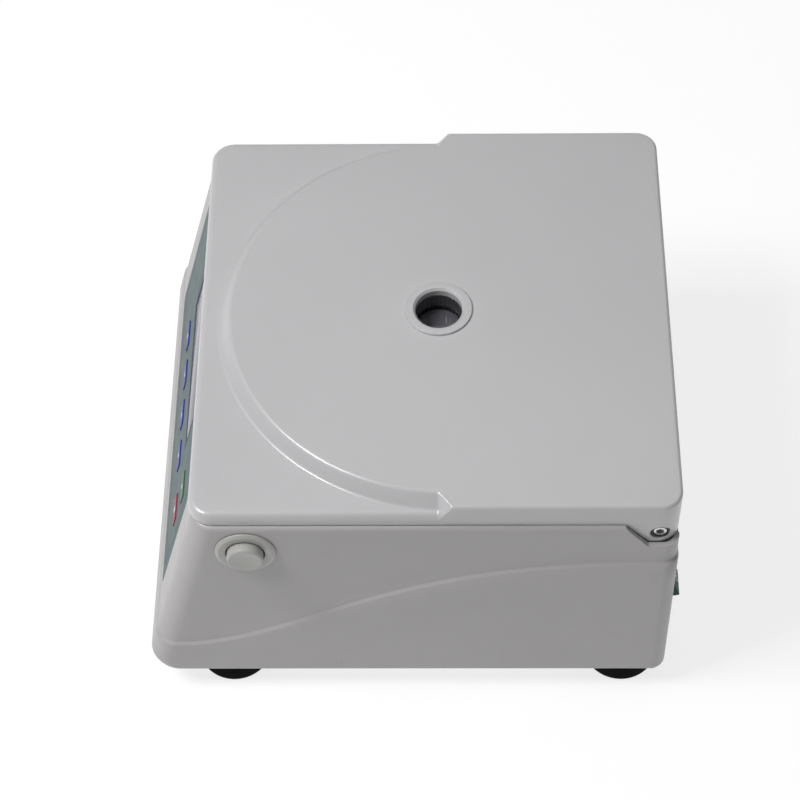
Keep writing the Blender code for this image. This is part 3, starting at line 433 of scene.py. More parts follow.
def moulded(name, colour, roughness, mottle=0.03, grain=900.0, depth=0.00002, specular=0.5, waviness=0.0,
            specks=0.0, coat=0.0, edge_highlight=0.0):
    """Moulded plastic: mottling, fine grain, and where asked waves, specks, gloss and painted highlights on
    convex edges.
    """
    recipe = Recipe(name, roughness)
    recipe.set("Specular IOR Level", specular)
    cloud = recipe.noise(9.0, 4.0, 0.6)
    cloud = recipe.remap(cloud, 0.3, 0.7, 0.0, 1.0)
    tint = recipe.blend(cloud, shade(colour, 1 - mottle), shade(colour, 1 + mottle))
    if specks:
        dots = recipe.noise(700.0, 1.0, 0.4)
        tint = recipe.blend(recipe.remap(dots, 0.72, 0.78, 0.0, specks), tint, shade(colour, 0.45))
    if edge_highlight:
        # Painted highlight: convex edges, found by pointiness, are painted lighter than the plastic.
        edges = recipe.node("ShaderNodeNewGeometry").outputs["Pointiness"]
        tint = recipe.blend(recipe.remap(edges, 0.53, 0.60, 0.0, edge_highlight), tint, shade(colour, 1.35))
    recipe.link(tint, "Base Color")
    patches = recipe.noise(60.0, 3.0)
    recipe.link(recipe.remap(patches, 0.3, 0.7, roughness * 0.9, roughness * 1.1), "Roughness")
    normal = recipe.bump(recipe.noise(grain, 2.0), depth)
    if waviness:
        normal = recipe.bump(recipe.noise(55.0, 1.0), waviness, 1.0, normal)
    recipe.link(normal, "Normal")
    if coat:
        recipe.set("Coat Weight", coat)
        recipe.set("Coat Roughness", 0.12)
    return recipe.material


def machined(name, colour, roughness, stretch=None, depth=0.00001, scratches=0.12, scale=1.0):
    """Metal: turning marks about Z, or brushed lines along one axis, with uneven gloss."""
    recipe = Recipe(name, roughness, 1.0)
    place = recipe.stretched(stretch) if stretch else recipe.lathe()
    lines = recipe.noise(1500.0 * scale, 2.0, 0.6, place)
    cloud = recipe.noise(25.0, 4.0, 0.6)
    tint = recipe.blend(recipe.remap(lines, 0.3, 0.7, 0.0, 1.0), shade(colour, 1 - scratches), colour)
    tint = recipe.blend(recipe.remap(cloud, 0.35, 0.75, 0.0, 0.35), tint, shade(colour, 0.78))
    recipe.link(tint, "Base Color")
    mixed = recipe.node("ShaderNodeMath", {0: lines, 1: cloud}, operation="ADD").outputs["Value"]
    recipe.link(recipe.remap(mixed, 0.7, 1.3, roughness * 0.75, roughness * 1.3), "Roughness")
    recipe.link(recipe.bump(lines, depth), "Normal")
    return recipe.material


def rubber(name, colour, roughness):
    """Matt rubber with fine pitting and a little dust."""
    recipe = Recipe(name, roughness)
    recipe.set("Specular IOR Level", 0.15)
    dust = recipe.noise(40.0, 5.0, 0.7)
    tint = recipe.blend(recipe.remap(dust, 0.45, 0.8, 0.0, 0.5), colour, tuple(c + 0.008 for c in colour))
    recipe.link(tint, "Base Color")
    recipe.link(recipe.remap(dust, 0.3, 0.7, roughness * 0.85, min(1.0, roughness * 1.1)), "Roughness")
    recipe.link(recipe.bump(recipe.noise(1400.0, 2.0), 0.00003), "Normal")
    return recipe.material


def glass(name, tint, roughness, transmission, specular=0.5):
    """Clear or smoked plastic with faint wipe marks."""
    recipe = Recipe(name, roughness)
    recipe.set("Transmission Weight", transmission)
    recipe.set("IOR", 1.49)
    recipe.set("Specular IOR Level", specular)
    smear = recipe.noise(30.0, 5.0, 0.7, recipe.stretched((1.0, 3.0, 1.0)))
    wiped = recipe.remap(smear, 0.35, 0.7, 0.0, 1.0)
    recipe.link(recipe.blend(wiped, tint, shade(tint, 0.85)), "Base Color")
    recipe.link(recipe.remap(smear, 0.3, 0.8, roughness, roughness + 0.06), "Roughness")
    return recipe.material


def circuit(name, colour):
    """A green board with copper tracks under the lacquer."""
    recipe = Recipe(name, 0.35)
    values = {"Scale": 260.0, "Randomness": 0.2}
    tracks = recipe.node("ShaderNodeTexVoronoi", {"Vector": recipe.place}, values, distance="MANHATTAN",
                         feature="F1").outputs["Distance"]
    tint = recipe.blend(recipe.remap(tracks, 0.42, 0.46, 0.0, 0.7), colour, shade(colour, 2.2))
    recipe.link(tint, "Base Color")
    recipe.link(recipe.bump(recipe.remap(tracks, 0.40, 0.46, 0.0, 1.0), 0.00004), "Normal")
    return recipe.material


# Name: colour, roughness, mottle, grain, depth, specular, waviness, specks, coat and painted edge highlight
PLASTICS = {
    "lid_plastic": ((0.478, 0.474, 0.484), 0.34, 0.018, 1300.0, 0.000006, 0.5, 0.00004, 0.10, 0.35, 0.10),
    # Painted shade: the case's white is darker than the lid's white, the same plastic, standing in for the
    # weaker light on the case's sides.
    "case_plastic_painted_shade": ((0.385, 0.374, 0.374), 0.46, 0.02, 1500.0, 0.00002, 0.5, 0.00003, 0.30, 0.10, 0.12),
    # Painted shade: the release button's white is darker than the port trim's white of the same slot,
    # standing in for the weaker light on the case's side.
    "button_plastic_painted_shade": ((0.385, 0.382, 0.365), 0.36, 0.015, 1200.0, 0.00001, 0.5, 0.0, 0.05, 0.2),
    "black_plastic": ((0.018, 0.018, 0.019), 0.38, 0.10, 1100.0, 0.00002, 0.5, 0.0, 0.0, 0.0, 0.3),
    "sleeve_plastic": ((0.045, 0.045, 0.052), 0.12, 0.10, 300.0, 0.00001, 0.5, 0.00006, 0.0, 0.6),
    "film_plastic": ((0.105, 0.145, 0.148), 0.50, 0.015, 1600.0, 0.00002, 0.08, 0.0, 0.05),
    "ink_navy": ((0.022, 0.030, 0.085), 0.45, 0.05, 1500.0, 0.00001, 0.1),
    "ink_white": ((0.72, 0.73, 0.75), 0.40, 0.02, 1500.0, 0.00001),
    "key_blue": ((0.022, 0.035, 0.24), 0.40, 0.05, 1200.0, 0.00001, 0.2),
    "key_green": ((0.035, 0.120, 0.060), 0.40, 0.05, 1200.0, 0.00001, 0.2),
    "key_red": ((0.25, 0.028, 0.060), 0.40, 0.05, 1200.0, 0.00001, 0.2),
    "rocker_plastic": ((0.005, 0.060, 0.048), 0.50, 0.08, 600.0, 0.00001, 0.12),
    "cable_plastic": ((0.28, 0.28, 0.30), 0.5, 0.05, 900.0, 0.00003),
}
LOOKS = {name: moulded(name, *values) for name, values in PLASTICS.items()}
LOOKS["foot_rubber"] = rubber("foot_rubber", (0.0035, 0.0035, 0.004), 0.70)
LOOKS["seal_rubber"] = rubber("seal_rubber", (0.022, 0.022, 0.023), 0.58)
LOOKS["window_plastic"] = glass("window_plastic", (0.11, 0.11, 0.125), 0.05, 0.25)
LOOKS["lcd_plastic"] = glass("lcd_plastic", (0.016, 0.020, 0.055), 0.12, 0.0, 0.12)
LOOKS["bowl_steel"] = machined("bowl_steel", (0.60, 0.60, 0.61), 0.24)
LOOKS["rotor_aluminium"] = machined("rotor_aluminium", (0.62, 0.63, 0.65), 0.30, scale=0.7)
LOOKS["fastener_steel"] = machined("fastener_steel", (0.62, 0.62, 0.63), 0.18)
LOOKS["zinc_plate"] = machined("zinc_plate", (0.52, 0.53, 0.55), 0.40, (1.0, 0.04, 1.0))
LOOKS["motor_aluminium"] = machined("motor_aluminium", (0.50, 0.51, 0.53), 0.42, (1.0, 1.0, 0.1))
LOOKS["circuit_board"] = circuit("circuit_board", (0.015, 0.13, 0.055))

# The slots whose look has another name
SLOT_LOOKS = {
    "case_white": "case_plastic_painted_shade", "trim_white": "button_plastic_painted_shade", "panel_film": "film_plastic",
    "display_glass": "lcd_plastic", "port_glass": "window_plastic", "rocker_green": "rocker_plastic",
    "cable_sheath": "cable_plastic",
}


def look_of(slot):
    return LOOKS[SLOT_LOOKS.get(slot, slot)]


for part in frame["record"]["subparts"]:
    kept = frame["nodes"][part["node"]].data
    kept.materials.clear()
    kept.materials.append(look_of(part["material_slot"]))
    shade_mesh(kept, 35.0)


# Lid

def lid_outline():
    """(point, inward normal) pairs round the lid's plan, anticlockwise from the right front corner."""
    w, rf, rr = LID_HALF_WIDTH, LID_FRONT_CORNER, LID_REAR_CORNER
    spans = ((FACET_POINT[1] - 0.005, BOSS_Y + 0.005), (EAR_FRONT - 0.001, LID_REAR - rr))
    side = graded(LID_FRONT + rf, LID_REAR - rr, 0.006, 0.0008, spans)[1:-1]
    across = [lerp(-w + rr, w - rr, i / 24) for i in range(1, 24)]

    def corner(x, y, radius, start):
        return [(Vector((x, y)) + radius * out, -out) for out in quarter(start, 14)]

    ring = corner(w - rf, LID_FRONT + rf, rf, -90)
    ring += [(Vector((w, y)), Vector((-1, 0))) for y in side]
    ring += corner(w - rr, LID_REAR - rr, rr, 0)
    ring += [(Vector((-x, LID_REAR)), Vector((0, -1))) for x in across]
    ring += corner(rr - w, LID_REAR - rr, rr, 90)
    ring += [(Vector((-w, y)), Vector((1, 0))) for y in reversed(side)]
    ring += corner(rf - w, LID_FRONT + rf, rf, 180)
    ring += [(Vector((x, LID_FRONT)), Vector((0, 1))) for x in across]
    return ring


def raised_height(x, y):
    """Height of the front shoulder and the raised rear half, joined by a slanting facet at each side."""
    facet = LID_TOP + FACET_SLOPE[0] * (abs(x) - FACET_POINT[0]) + FACET_SLOPE[1] * (y - FACET_POINT[1])
    front = LID_TOP + 3.0 * (y - FACET_POINT[1])
    raised = soft_min(soft_min(facet, front, 0.0008), LID_TOP, 0.0012)
    return soft_max(raised, LID_SHOULDER, 0.0016)


def edge_share(point, normal):
    """Share of the raised height at the inner end of the lid's edge fillet."""
    share = 0.0
    for _ in range(8):
        x, y = point + normal * lerp(LID_FILLET, RAISED_FILLET, share)
        share = (raised_height(x, y) - LID_SHOULDER) / (LID_TOP - LID_SHOULDER)
    return share


def with_boss(x, y, height):
    """The height with the round boss of the front half added."""
    if y > BOSS_Y:
        return height
    slope = (LID_TOP - LID_SHOULDER) / (BOSS_FOOT_RADIUS - BOSS_TOP_RADIUS)
    cone = LID_SHOULDER + slope * (BOSS_FOOT_RADIUS - math.hypot(x, y - BOSS_Y))
    boss = soft_min(LID_TOP, cone, 0.0016)
    spare = min(1.0, max(0.0, (LID_TOP - max(height, boss)) / 0.0015))
    risen = (height - LID_SHOULDER) / (LID_TOP - LID_SHOULDER)
    return soft_max(height, boss, 0.0014 * spare * max(0.4, 1 - 3 * risen))


def lid_bottom(y):
    """The lid's lower edge, which drops at the hinge ears."""
    drop = (y - EAR_FRONT - 0.0004) / (EAR_FOOT_FRONT - EAR_FRONT)
    return lerp(LID_BOTTOM, EAR_BOTTOM, soft_ramp(drop, 0.12))


def lid_rows():
    """Rows of points from the lid's lower edge, up its side and over its top to the port."""
    outline = lid_outline()
    rows = []
    for step_in, rise in ((0.00025, 0.0), (0.00008, 0.0001), (0.0, 0.0003)):
        rows.append([(*(p + n * step_in), lid_bottom(p.y) + rise) for p, n in outline])
    for share in (0.15, 0.3, 0.5, 0.75):
        row = []
        for p, n in outline:
            up = edge_share(p, n)
            top = lerp(LID_SHOULDER - LID_FILLET, LID_TOP - RAISED_FILLET, up)
            row.append((p.x, p.y, lerp(lid_bottom(p.y) + 0.0004, top, share)))
        rows.append(row)
    for k in range(10):
        turn = math.radians(10 * k)
        row = []
        for p, n in outline:
            up = edge_share(p, n)
            fillet = lerp(LID_FILLET, RAISED_FILLET, up)
            x, y = p + n * fillet * (1 - math.cos(turn))
            z = lerp(LID_SHOULDER, LID_TOP, up) - fillet * (1 - math.sin(turn))
            row.append((x, y, with_boss(x, y, z)))
        rows.append(row)
    edge = [Vector(point[:2]) for point in rows[-1]]
    centre = Vector((0, BOSS_Y))
    reach = [(p - centre).length for p in edge]
    targets = [0.1505 - 0.0007 * k for k in range(18)]
    for k in range(1, 6):
        reach_now = [min(r - 0.00015 * k, lerp(r, targets[0], k / 6)) for r in reach]
        rows.append(lid_ring(edge, centre, reach_now))
    last = reach_now
    for target in targets:
        last = [min(target, r - 0.00015) for r in last]
        rows.append(lid_ring(edge, centre, last))
    port = Vector((0, AXIS_Y))
    for k in range(1, 9):
        row = []
        for p in edge:
            heading = (p - centre).normalized()
            outer, inner = centre + heading * targets[-1] * 0.985, port + heading * PORT_HOLE_RADIUS
            x, y = outer.lerp(inner, k / 8)
            row.append((x, y, LID_TOP))
        rows.append(row)
    return rows


def lid_ring(edge, centre, reach):
    """A row of top points at the given distances from the boss's centre."""
    row = []
    for p, r in zip(edge, reach):
        x, y = centre + (p - centre).normalized() * r
        row.append((x, y, with_boss(x, y, raised_height(x, y))))
    return row


def make_lid_cover():
    lid = to_object("lid_cover", skin(lid_rows()))
    thicken(lid, LID_WALL)
    hole = [(0, 0.14), (EAR_HOLE_RADIUS, 0.14), (EAR_HOLE_RADIUS, LID_HALF_WIDTH - 0.0005),
            (EAR_HOLE_RADIUS + 0.0015, LID_HALF_WIDTH + 0.001), (0, LID_HALF_WIDTH + 0.001)]
    cuts = [(turned(hole, 48), pointing((side, 0, 0), (0, HINGE_Y, HINGE_Z))) for side in (-1, 1)]
    combine(lid, cuts)
    add(lid, "lid", "case_white", "lid_shell", look="lid_plastic")


def make_port():
    """The view port: a ring on the lid, a fluted dark sleeve and a window."""
    outer, bore = ring_high.x, 0.015
    top, foot = ring_high.z, LID_TOP + GAP
    profile = rounded([
        (bore + 0.0015, top, 0.0003), (outer - 0.0005, top, 0.0005), (outer, foot, 0.0001), (0.0172, foot),
        (0.0172, 0.1905), (bore, 0.1905), (bore, top - 0.0015, 0.0002)], 5)
    add_turned("viewport_trim", profile, 128, ON_AXIS, "lid", "trim_white", "viewport_ring",
        look="lid_plastic")
    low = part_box("viewport_sleeve")[0].z
    flute_top = 0.189
    profile = rounded([
        (bore, flute_top), (bore, 0.1902, 0.0002), (0.0172, 0.1902, 0.0002), (0.0172, low, 0.0004),
        (0.013, low, 0.0003), (0.013, low + 0.0015, 0.0003), (bore, low + 0.0015), (bore, 0.18),
        (bore - 0.00035, 0.1806), (bore - 0.00035, 0.1816), (bore, 0.1822)], 4)
    tube = turned(profile, 8 * FLUTES)
    for vert in tube.verts:
        radius = math.hypot(vert.co.x, vert.co.y)
        if radius < bore + 0.00005 and 0.1738 < vert.co.z <= flute_top:
            wave = math.cos(FLUTES * math.atan2(vert.co.y, vert.co.x))
            vert.co.xy *= 1 - FLUTE_DEPTH / radius * (0.5 + 0.5 * wave)
    add(to_object("viewport_tube", tube, ON_AXIS), "lid", "black_plastic", "viewport_sleeve",
        look="sleeve_plastic")
    radius = window_high.x
    profile = rounded([
        (0, window_low.z), (radius, window_low.z, 0.0003), (radius, window_high.z, 0.0005),
        (0, window_high.z)], 4)
    add_turned("viewport_glass", profile, 128, ON_AXIS, "lid", "port_glass",
        "viewport_window")


def make_liner():
    """The pressed steel liner under the lid, with a raised bead, and its screws."""
    low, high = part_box("lid_liner")
    radius, sheet = high.x, 0.0012
    foot = low.z
    profile = rounded([
        (PORT_HOLE_RADIUS, foot + sheet), (0.048, foot + sheet, 0.002), (0.05, foot + sheet + 0.001, 0.002),
        (0.056, foot + sheet + 0.001, 0.002), (0.058, foot + sheet, 0.002),
        (radius - sheet, foot + sheet, 0.002), (radius - sheet, high.z, 0.0003), (radius, high.z, 0.0003),
        (radius, foot, 0.003), (0.0585, foot, 0.002), (0.0565, foot + 0.001, 0.002),
        (0.0495, foot + 0.001, 0.002), (0.0475, foot, 0.002), (PORT_HOLE_RADIUS, foot)], 4)
    add_turned("lid_lining", profile, 144, ON_AXIS, "lid", "bowl_steel", "lid_liner")
    for i in range(1, 5):
        low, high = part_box(f"lid_screw_{i}")
        spot = (low + high) / 2
        head = rounded([
            (0, high.z), (0.0036, high.z, 0.0001), (0.0036, high.z - 0.0012, 0.0005),
            (0.0022, low.z, 0.0004), (0, low.z)], 4)
        screw = to_object(f"liner_screw_{i}", turned([(r, z - low.z) for r, z in head], 40),
                          Matrix.Translation((spot.x, spot.y, low.z)))
        slots = [(soft_box((-0.0016, -0.00035, -0.001), (0.0016, 0.00035, 0.0009), 0.00005, 1),
                  Matrix.Translation((spot.x, spot.y, low.z)) @ Matrix.Rotation(turn, 4, "Z"))
                 for turn in (0.4, 0.4 + math.pi / 2)]
        combine(screw, slots)
        add(screw, "lid", "fastener_steel", f"lid_screw_{i}")


# Case

NOSE_Y, NOSE_Z = NOSE_FRONT + NOSE_RADIUS, BASE_BOTTOM + NOSE_RADIUS
PANEL_FOOT_Y = NOSE_Y - NOSE_RADIUS * math.cos(PANEL_LEAN)
PANEL_FOOT_Z = NOSE_Z + NOSE_RADIUS * math.sin(PANEL_LEAN)


def case_front(z):
    """The front's Y at a height: a leaning panel above a round nose."""
    if z >= PANEL_FOOT_Z:
        return PANEL_FOOT_Y + (z - PANEL_FOOT_Z) * math.tan(PANEL_LEAN)
    return NOSE_Y - math.sqrt(max(0.0, NOSE_RADIUS ** 2 - (z - NOSE_Z) ** 2))


def case_half_width(z):
    return lerp(CASE_TOP_HALF_WIDTH, CASE_FOOT_HALF_WIDTH, (DECK - z) / (DECK - BASE_BOTTOM))


SIDE_STEPS, CORNER_STEPS, END_STEPS = 40, 12, 24


def case_plan(z, step_in=0.0, proud=0.0):
    """The case's plan at a height; proud is the share of the ledge's step below it."""
    w = case_half_width(z) + LEDGE * proud - step_in
    front, rear = case_front(z) - LEDGE_REAR * proud + step_in, CASE_REAR + LEDGE_REAR * proud - step_in
    rf, rr = CASE_FRONT_CORNER - step_in, CASE_REAR_CORNER - step_in

    def corner(x, y, radius, start):
        return [Vector((x, y)) + radius * out for out in quarter(start, CORNER_STEPS)]

    def line(a, b, steps):
        return [Vector(a).lerp(Vector(b), i / steps) for i in range(1, steps)]

    ring = corner(w - rf, front + rf, rf, -90) + line((w, front + rf), (w, rear - rr), SIDE_STEPS)
    ring += corner(w - rr, rear - rr, rr, 0) + line((w - rr, rear), (rr - w, rear), END_STEPS)
    ring += corner(rr - w, rear - rr, rr, 90) + line((-w, rear - rr), (-w, front + rf), SIDE_STEPS)
    ring += corner(rf - w, front + rf, rf, 180) + line((rf - w, front), (w - rf, front), END_STEPS)
    return ring


def ledge_height(y):
    """Height of the S-shaped ledge, a Bezier curve in the side view."""
    (y0, z0), (y1, z1), (y2, z2), (y3, z3) = LEDGE_CURVE
    if y <= y0 or y >= y3:
        return z0 if y <= y0 else z3
    low, high = 0.0, 1.0
    for _ in range(30):
        t = (low + high) / 2
        here = (1 - t) ** 3 * y0 + 3 * t * (1 - t) ** 2 * y1 + 3 * t * t * (1 - t) * y2 + t ** 3 * y3
        low, high = (t, high) if here < y else (low, t)
    return (1 - t) ** 3 * z0 + 3 * t * (1 - t) ** 2 * z1 + 3 * t * t * (1 - t) * z2 + t ** 3 * z3


def case_ring(heights, step_in=0.0, proud=0.0):
    """A row of case points, each at its own height."""
    known = {}
    row = []
    for i, z in enumerate(heights):
        key = round(z, 7)
        if key not in known:
            known[key] = case_plan(z, step_in, proud)
        row.append((*known[key][i], z))
    return row


def ledge_heights(rise, proud):
    """Heights along the ledge at each plan point."""
    heights = []
    for i, guide in enumerate(case_plan(0.09)):
        z = ledge_height(guide.y) + rise
        for _ in range(3):
            z = ledge_height(case_plan(z, 0.0, proud)[i].y) + rise
        heights.append(z)
    return heights


def case_rows():
    count = len(case_plan(DECK))
    rows = []
    rim = case_plan(DECK, CASE_FILLET)
    for share in (0.0, 0.02, 0.3, 0.65):
        row = []
        for p in rim:
            turn = math.atan2(p.y - AXIS_Y, p.x)
            hole = Vector((math.cos(turn), math.sin(turn))) * 0.1054 + Vector((0, AXIS_Y))
            row.append((*hole.lerp(p, share), DECK))
        rows.append(row)
    for k in range(9):
        turn = math.pi / 2 * k / 8
        drop = CASE_FILLET * (1 - math.cos(turn))
        rows.append(case_ring([DECK - drop] * count, CASE_FILLET * (1 - math.sin(turn))))
    above = ledge_heights(LEDGE_HALF_HEIGHT, 0.0)
    for share in (0.12, 0.25, 0.4, 0.55, 0.7, 0.85):
        rows.append(case_ring([lerp(DECK - CASE_FILLET, z, share) for z in above]))
    for k in range(9):
        t = k / 8
        rise = LEDGE_HALF_HEIGHT * (1 - 2 * t)
        proud = soft_ramp((t - 0.1) / 0.8, 0.3)
        rows.append(case_ring(ledge_heights(rise, proud), 0.0, proud))
    below = ledge_heights(-LEDGE_HALF_HEIGHT, 1.0)
    for share in (0.15, 0.35, 0.6, 0.8, 1.0):
        rows.append(case_ring([lerp(z, PANEL_FOOT_Z, share) for z in below], 0.0, 1.0))
    for degrees in (8, 0, -10, -20, -30, -40):
        rows.append(case_ring([NOSE_Z + NOSE_RADIUS * math.sin(math.radians(degrees))] * count, 0.0, 1.0))
    for k in range(8):
        turn = math.pi / 2 * k / 7
        z = BASE_BOTTOM + CASE_FILLET * (1 - math.sin(turn))
        rows.append(case_ring([z] * count, CASE_FILLET * (1 - math.cos(turn)), 1.0))
    for z in (BASE_BOTTOM, NOSE_Z, PANEL_FOOT_Z, 0.09, 0.13, DECK - CASE_WALL):
        rows.append(case_ring([z] * count, CASE_WALL))
    rows.append([(x, y, DECK - CASE_WALL) for x, y, _ in rows[0]])
    return rows


def case_panel_top():
    return Vector((0, case_front(DECK), DECK))


PANEL = axes((1, 0, 0), (0, math.sin(PANEL_LEAN), math.cos(PANEL_LEAN)),
             (0, -math.cos(PANEL_LEAN), math.sin(PANEL_LEAN)), case_panel_top())
REAR = axes((-1, 0, 0), (0, 0, 1), (0, 1, 0), (0, REAR_WALL, 0))
ACROSS = axes((0, 1, 0), (0, 0, 1), (1, 0, 0), (0, 0, 0))


def release_place():
    """Square to the leaning side wall at the release button."""
    tilt = math.atan((CASE_FOOT_HALF_WIDTH - CASE_TOP_HALF_WIDTH) / (DECK - BASE_BOTTOM))
    side = (case_half_width(RELEASE_Z), RELEASE_Y, RELEASE_Z)
    return pointing((math.cos(tilt), 0, math.sin(tilt)), side)


def rear_cut(x, z, half_width, half_height, radius):
    """A straight cut through the rear wall."""
    return plate(rectangle(half_width, half_height, radius, 4, (-x, z)), -0.02, 0.01), REAR


def make_case():
    case = to_object("case_shell", skin(case_rows(), closed=True))
    floor = EAR_BOTTOM - 0.0006
    notch = [(EAR_FRONT, DECK, 0.0005), (EAR_FOOT_FRONT, floor, 0.002), (0.2, floor), (0.2, 0.25),
             (EAR_FRONT, 0.25)]
    combine(case, [(plate(rounded(notch, 4), -0.2, 0.2), ACROSS)])
    combine(case, [(soft_box((-0.145, 0.156, 0.153), (0.145, 0.2, 0.2), 0.001, 2), Matrix())])
    half_length = (PANEL_END - PANEL_START) / 2 + GAP
    recess = rectangle(PANEL_HALF_WIDTH + GAP, half_length, 0.005, 6, (0, -(PANEL_START + PANEL_END) / 2))
    hole = turned([(0, -0.02), (0.013, -0.02), (0.013, 0.01), (0, 0.01)], 64)
    window_start, window_end = 0.014, 0.096
    window_centre = (0, -(window_start + window_end) / 2)
    window = rectangle(0.108, (window_end - window_start) / 2, 0.003, 5, window_centre)
    cuts = [(plate(recess, -FILM_THICKNESS - GAP, 0.02), PANEL), (plate(window, -0.02, 0.02), PANEL),
            (hole, release_place()),
            (plate(rectangle(0.005, 0.008, 0.002, 4, (0.1175, RELEASE_Y)), 0.16, 0.19), Matrix()),
            rear_cut(REAR_PLATE.x, REAR_PLATE.z, REAR_PLATE_HALF_WIDTH, REAR_PLATE_HALF_HEIGHT, 0.002)]
    cuts += [rear_cut(-0.106 + 0.012 * i, 0.072, 0.0025, 0.02, 0.00245) for i in range(7)]
    combine(case, cuts)
    add(case, "base", "case_white", "base_housing")


# Front panel

def on_film(name, outline, low, high, edge, body, slot, *nodes, look=None):
    """A thin piece on the leaning panel; its outline is across and up the slope from the deck's edge."""
    return add(to_object(name, plate(outline, low, high, edge), PANEL), body, slot, *nodes, look=look)


KEYS = {f"key_{i + 1}": (-0.053 + 0.0333 * i, 0.08, "key_blue") for i in range(4)}
KEYS["key_start"] = (0.093, 0.047, "key_green")
KEYS["key_stop"] = (0.09, 0.079, "key_red")


SIGN = (0.00079, 0.00084, 0.0)  # a key sign's lower and upper faces and its edge


def arrow(x, y, size, turn):
    """A triangle pointing up, turned anticlockwise."""
    corners = [Vector((0, size)), Vector((-size, -0.7 * size)), Vector((size, -0.7 * size))]
    turned_corners = [Matrix.Rotation(turn, 2) @ c + Vector((x, y)) for c in corners]
    return rounded([(c.x, c.y, 0.15 * size) for c in turned_corners], 3)


def make_panel():
    half_length = (PANEL_END - PANEL_START) / 2
    middle_v = -(PANEL_START + PANEL_END) / 2
    outline = rectangle(PANEL_HALF_WIDTH, half_length, 0.0047, 8, (0, middle_v))
    film = to_object("panel_overlay", plate(outline, -FILM_THICKNESS, 0.0, 0.00015), PANEL)
    lcd_v = -(LCD_START + LCD_END) / 2
    lcd_half = (LCD_END - LCD_START) / 2
    opening = rectangle(LCD_HALF_WIDTH + GAP, lcd_half + GAP, 0.0012, 4, (0, lcd_v))
    cuts = [(plate(opening, -0.01, 0.01), PANEL)]
    for x, along, _ in KEYS.values():
        hole = rectangle(KEY_SIZE[0] / 2 + GAP, KEY_SIZE[1] / 2 + GAP, 0.0023, 5, (x, -along))
        cuts.append((plate(hole, -0.01, 0.01), PANEL))
    combine(film, cuts)
    add(film, "base", "panel_film", "control_panel")

    border = 0.008
    ink = 0.00004
    line = 0.0009
    wide, long = PANEL_HALF_WIDTH - border, half_length - border
    outer = rectangle(wide, long, 0.006, 8, (0, middle_v))
    inner = rectangle(wide - line, long - line, 0.0052, 8, (0, middle_v))
    frame_line = to_object("panel_border", plate(outer, 0.0, ink), PANEL)
    combine(frame_line, [(plate(inner, -0.01, 0.01), PANEL)])
    add(frame_line, "base", "panel_film", look="ink_navy")

    surround = rectangle(LCD_HALF_WIDTH + 0.004, lcd_half + 0.004, 0.003, 6, (0, lcd_v))
    bezel = to_object("lcd_frame", plate(surround, 0.0, ink), PANEL)
    combine(bezel, [(plate(opening, -0.01, 0.01), PANEL)])
    add(bezel, "base", "panel_film", look="ink_navy")
    on_film("lcd_pane", rectangle(LCD_HALF_WIDTH, lcd_half, 0.001, 5, (0, lcd_v)), -0.0018, -0.0002, 0.0002,
            "base", "display_glass", "lcd_window")

    for name, (x, along, slot) in KEYS.items():
        half_x, half_y = KEY_SIZE[0] / 2, KEY_SIZE[1] / 2
        on_film(name + "_pad", rectangle(half_x, half_y, 0.002, 6, (x, -along)), -0.001, 0.0008, 0.0005,
                name, slot, name)
    quarters = {"key_1": 0, "key_2": 2, "key_3": 1, "key_4": -1, "key_start": -1}
    for name, turn in quarters.items():
        x, along, slot = KEYS[name]
        on_film(name + "_sign", arrow(x, -along, 0.0024, turn * math.pi / 2), *SIGN, name, slot,
                look="ink_white")
    x, along, slot = KEYS["key_stop"]
    on_film("key_stop_sign", rectangle(0.0021, 0.0021, 0.0004, 3, (x, -along)), *SIGN, "key_stop", slot,
            look="ink_white")


# Lid release

def make_release():
    cap_radius = extent("release_button").z / 2
    outer = extent("release_bezel").z / 2
    bore = cap_radius + 0.0009
    place = release_place()
    profile = rounded([
        (bore, 0.002, 0.0005), (outer - 0.0022, 0.0023, 0.0016), (outer, 0.0012, 0.0008), (outer, GAP),
        (bore + 0.0003, GAP), (bore + 0.0003, -0.002), (bore - 0.0004, -0.002)], 6)
    add_turned("release_surround", profile, 128, place, "base", "trim_white",
        "release_bezel")
    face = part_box("release_button")[1].x
    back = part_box("release_button")[0].x
    start = face - 0.018
    r = cap_radius
    profile = rounded([
        (0, face - start - 0.001), (r * 0.55, face - start - 0.0006, 0.002),
        (r - 0.001, face - start, 0.0007), (r, face - start - 0.0012, 0.0009), (r, 0, 0.0003),
        (r - 0.0022, 0, 0.0002), (r - 0.0022, 0.008, 0.0005), (0.004, 0.008, 0.0005),
        (0.004, back - start, 0.0004), (0, back - start)], 6)
    add_turned("release_cap", profile, 128, pointing((1, 0, 0), (start, RELEASE_Y, RELEASE_Z)),
               "release", "trim_white", "release_button")


# Chamber, rotor and drive

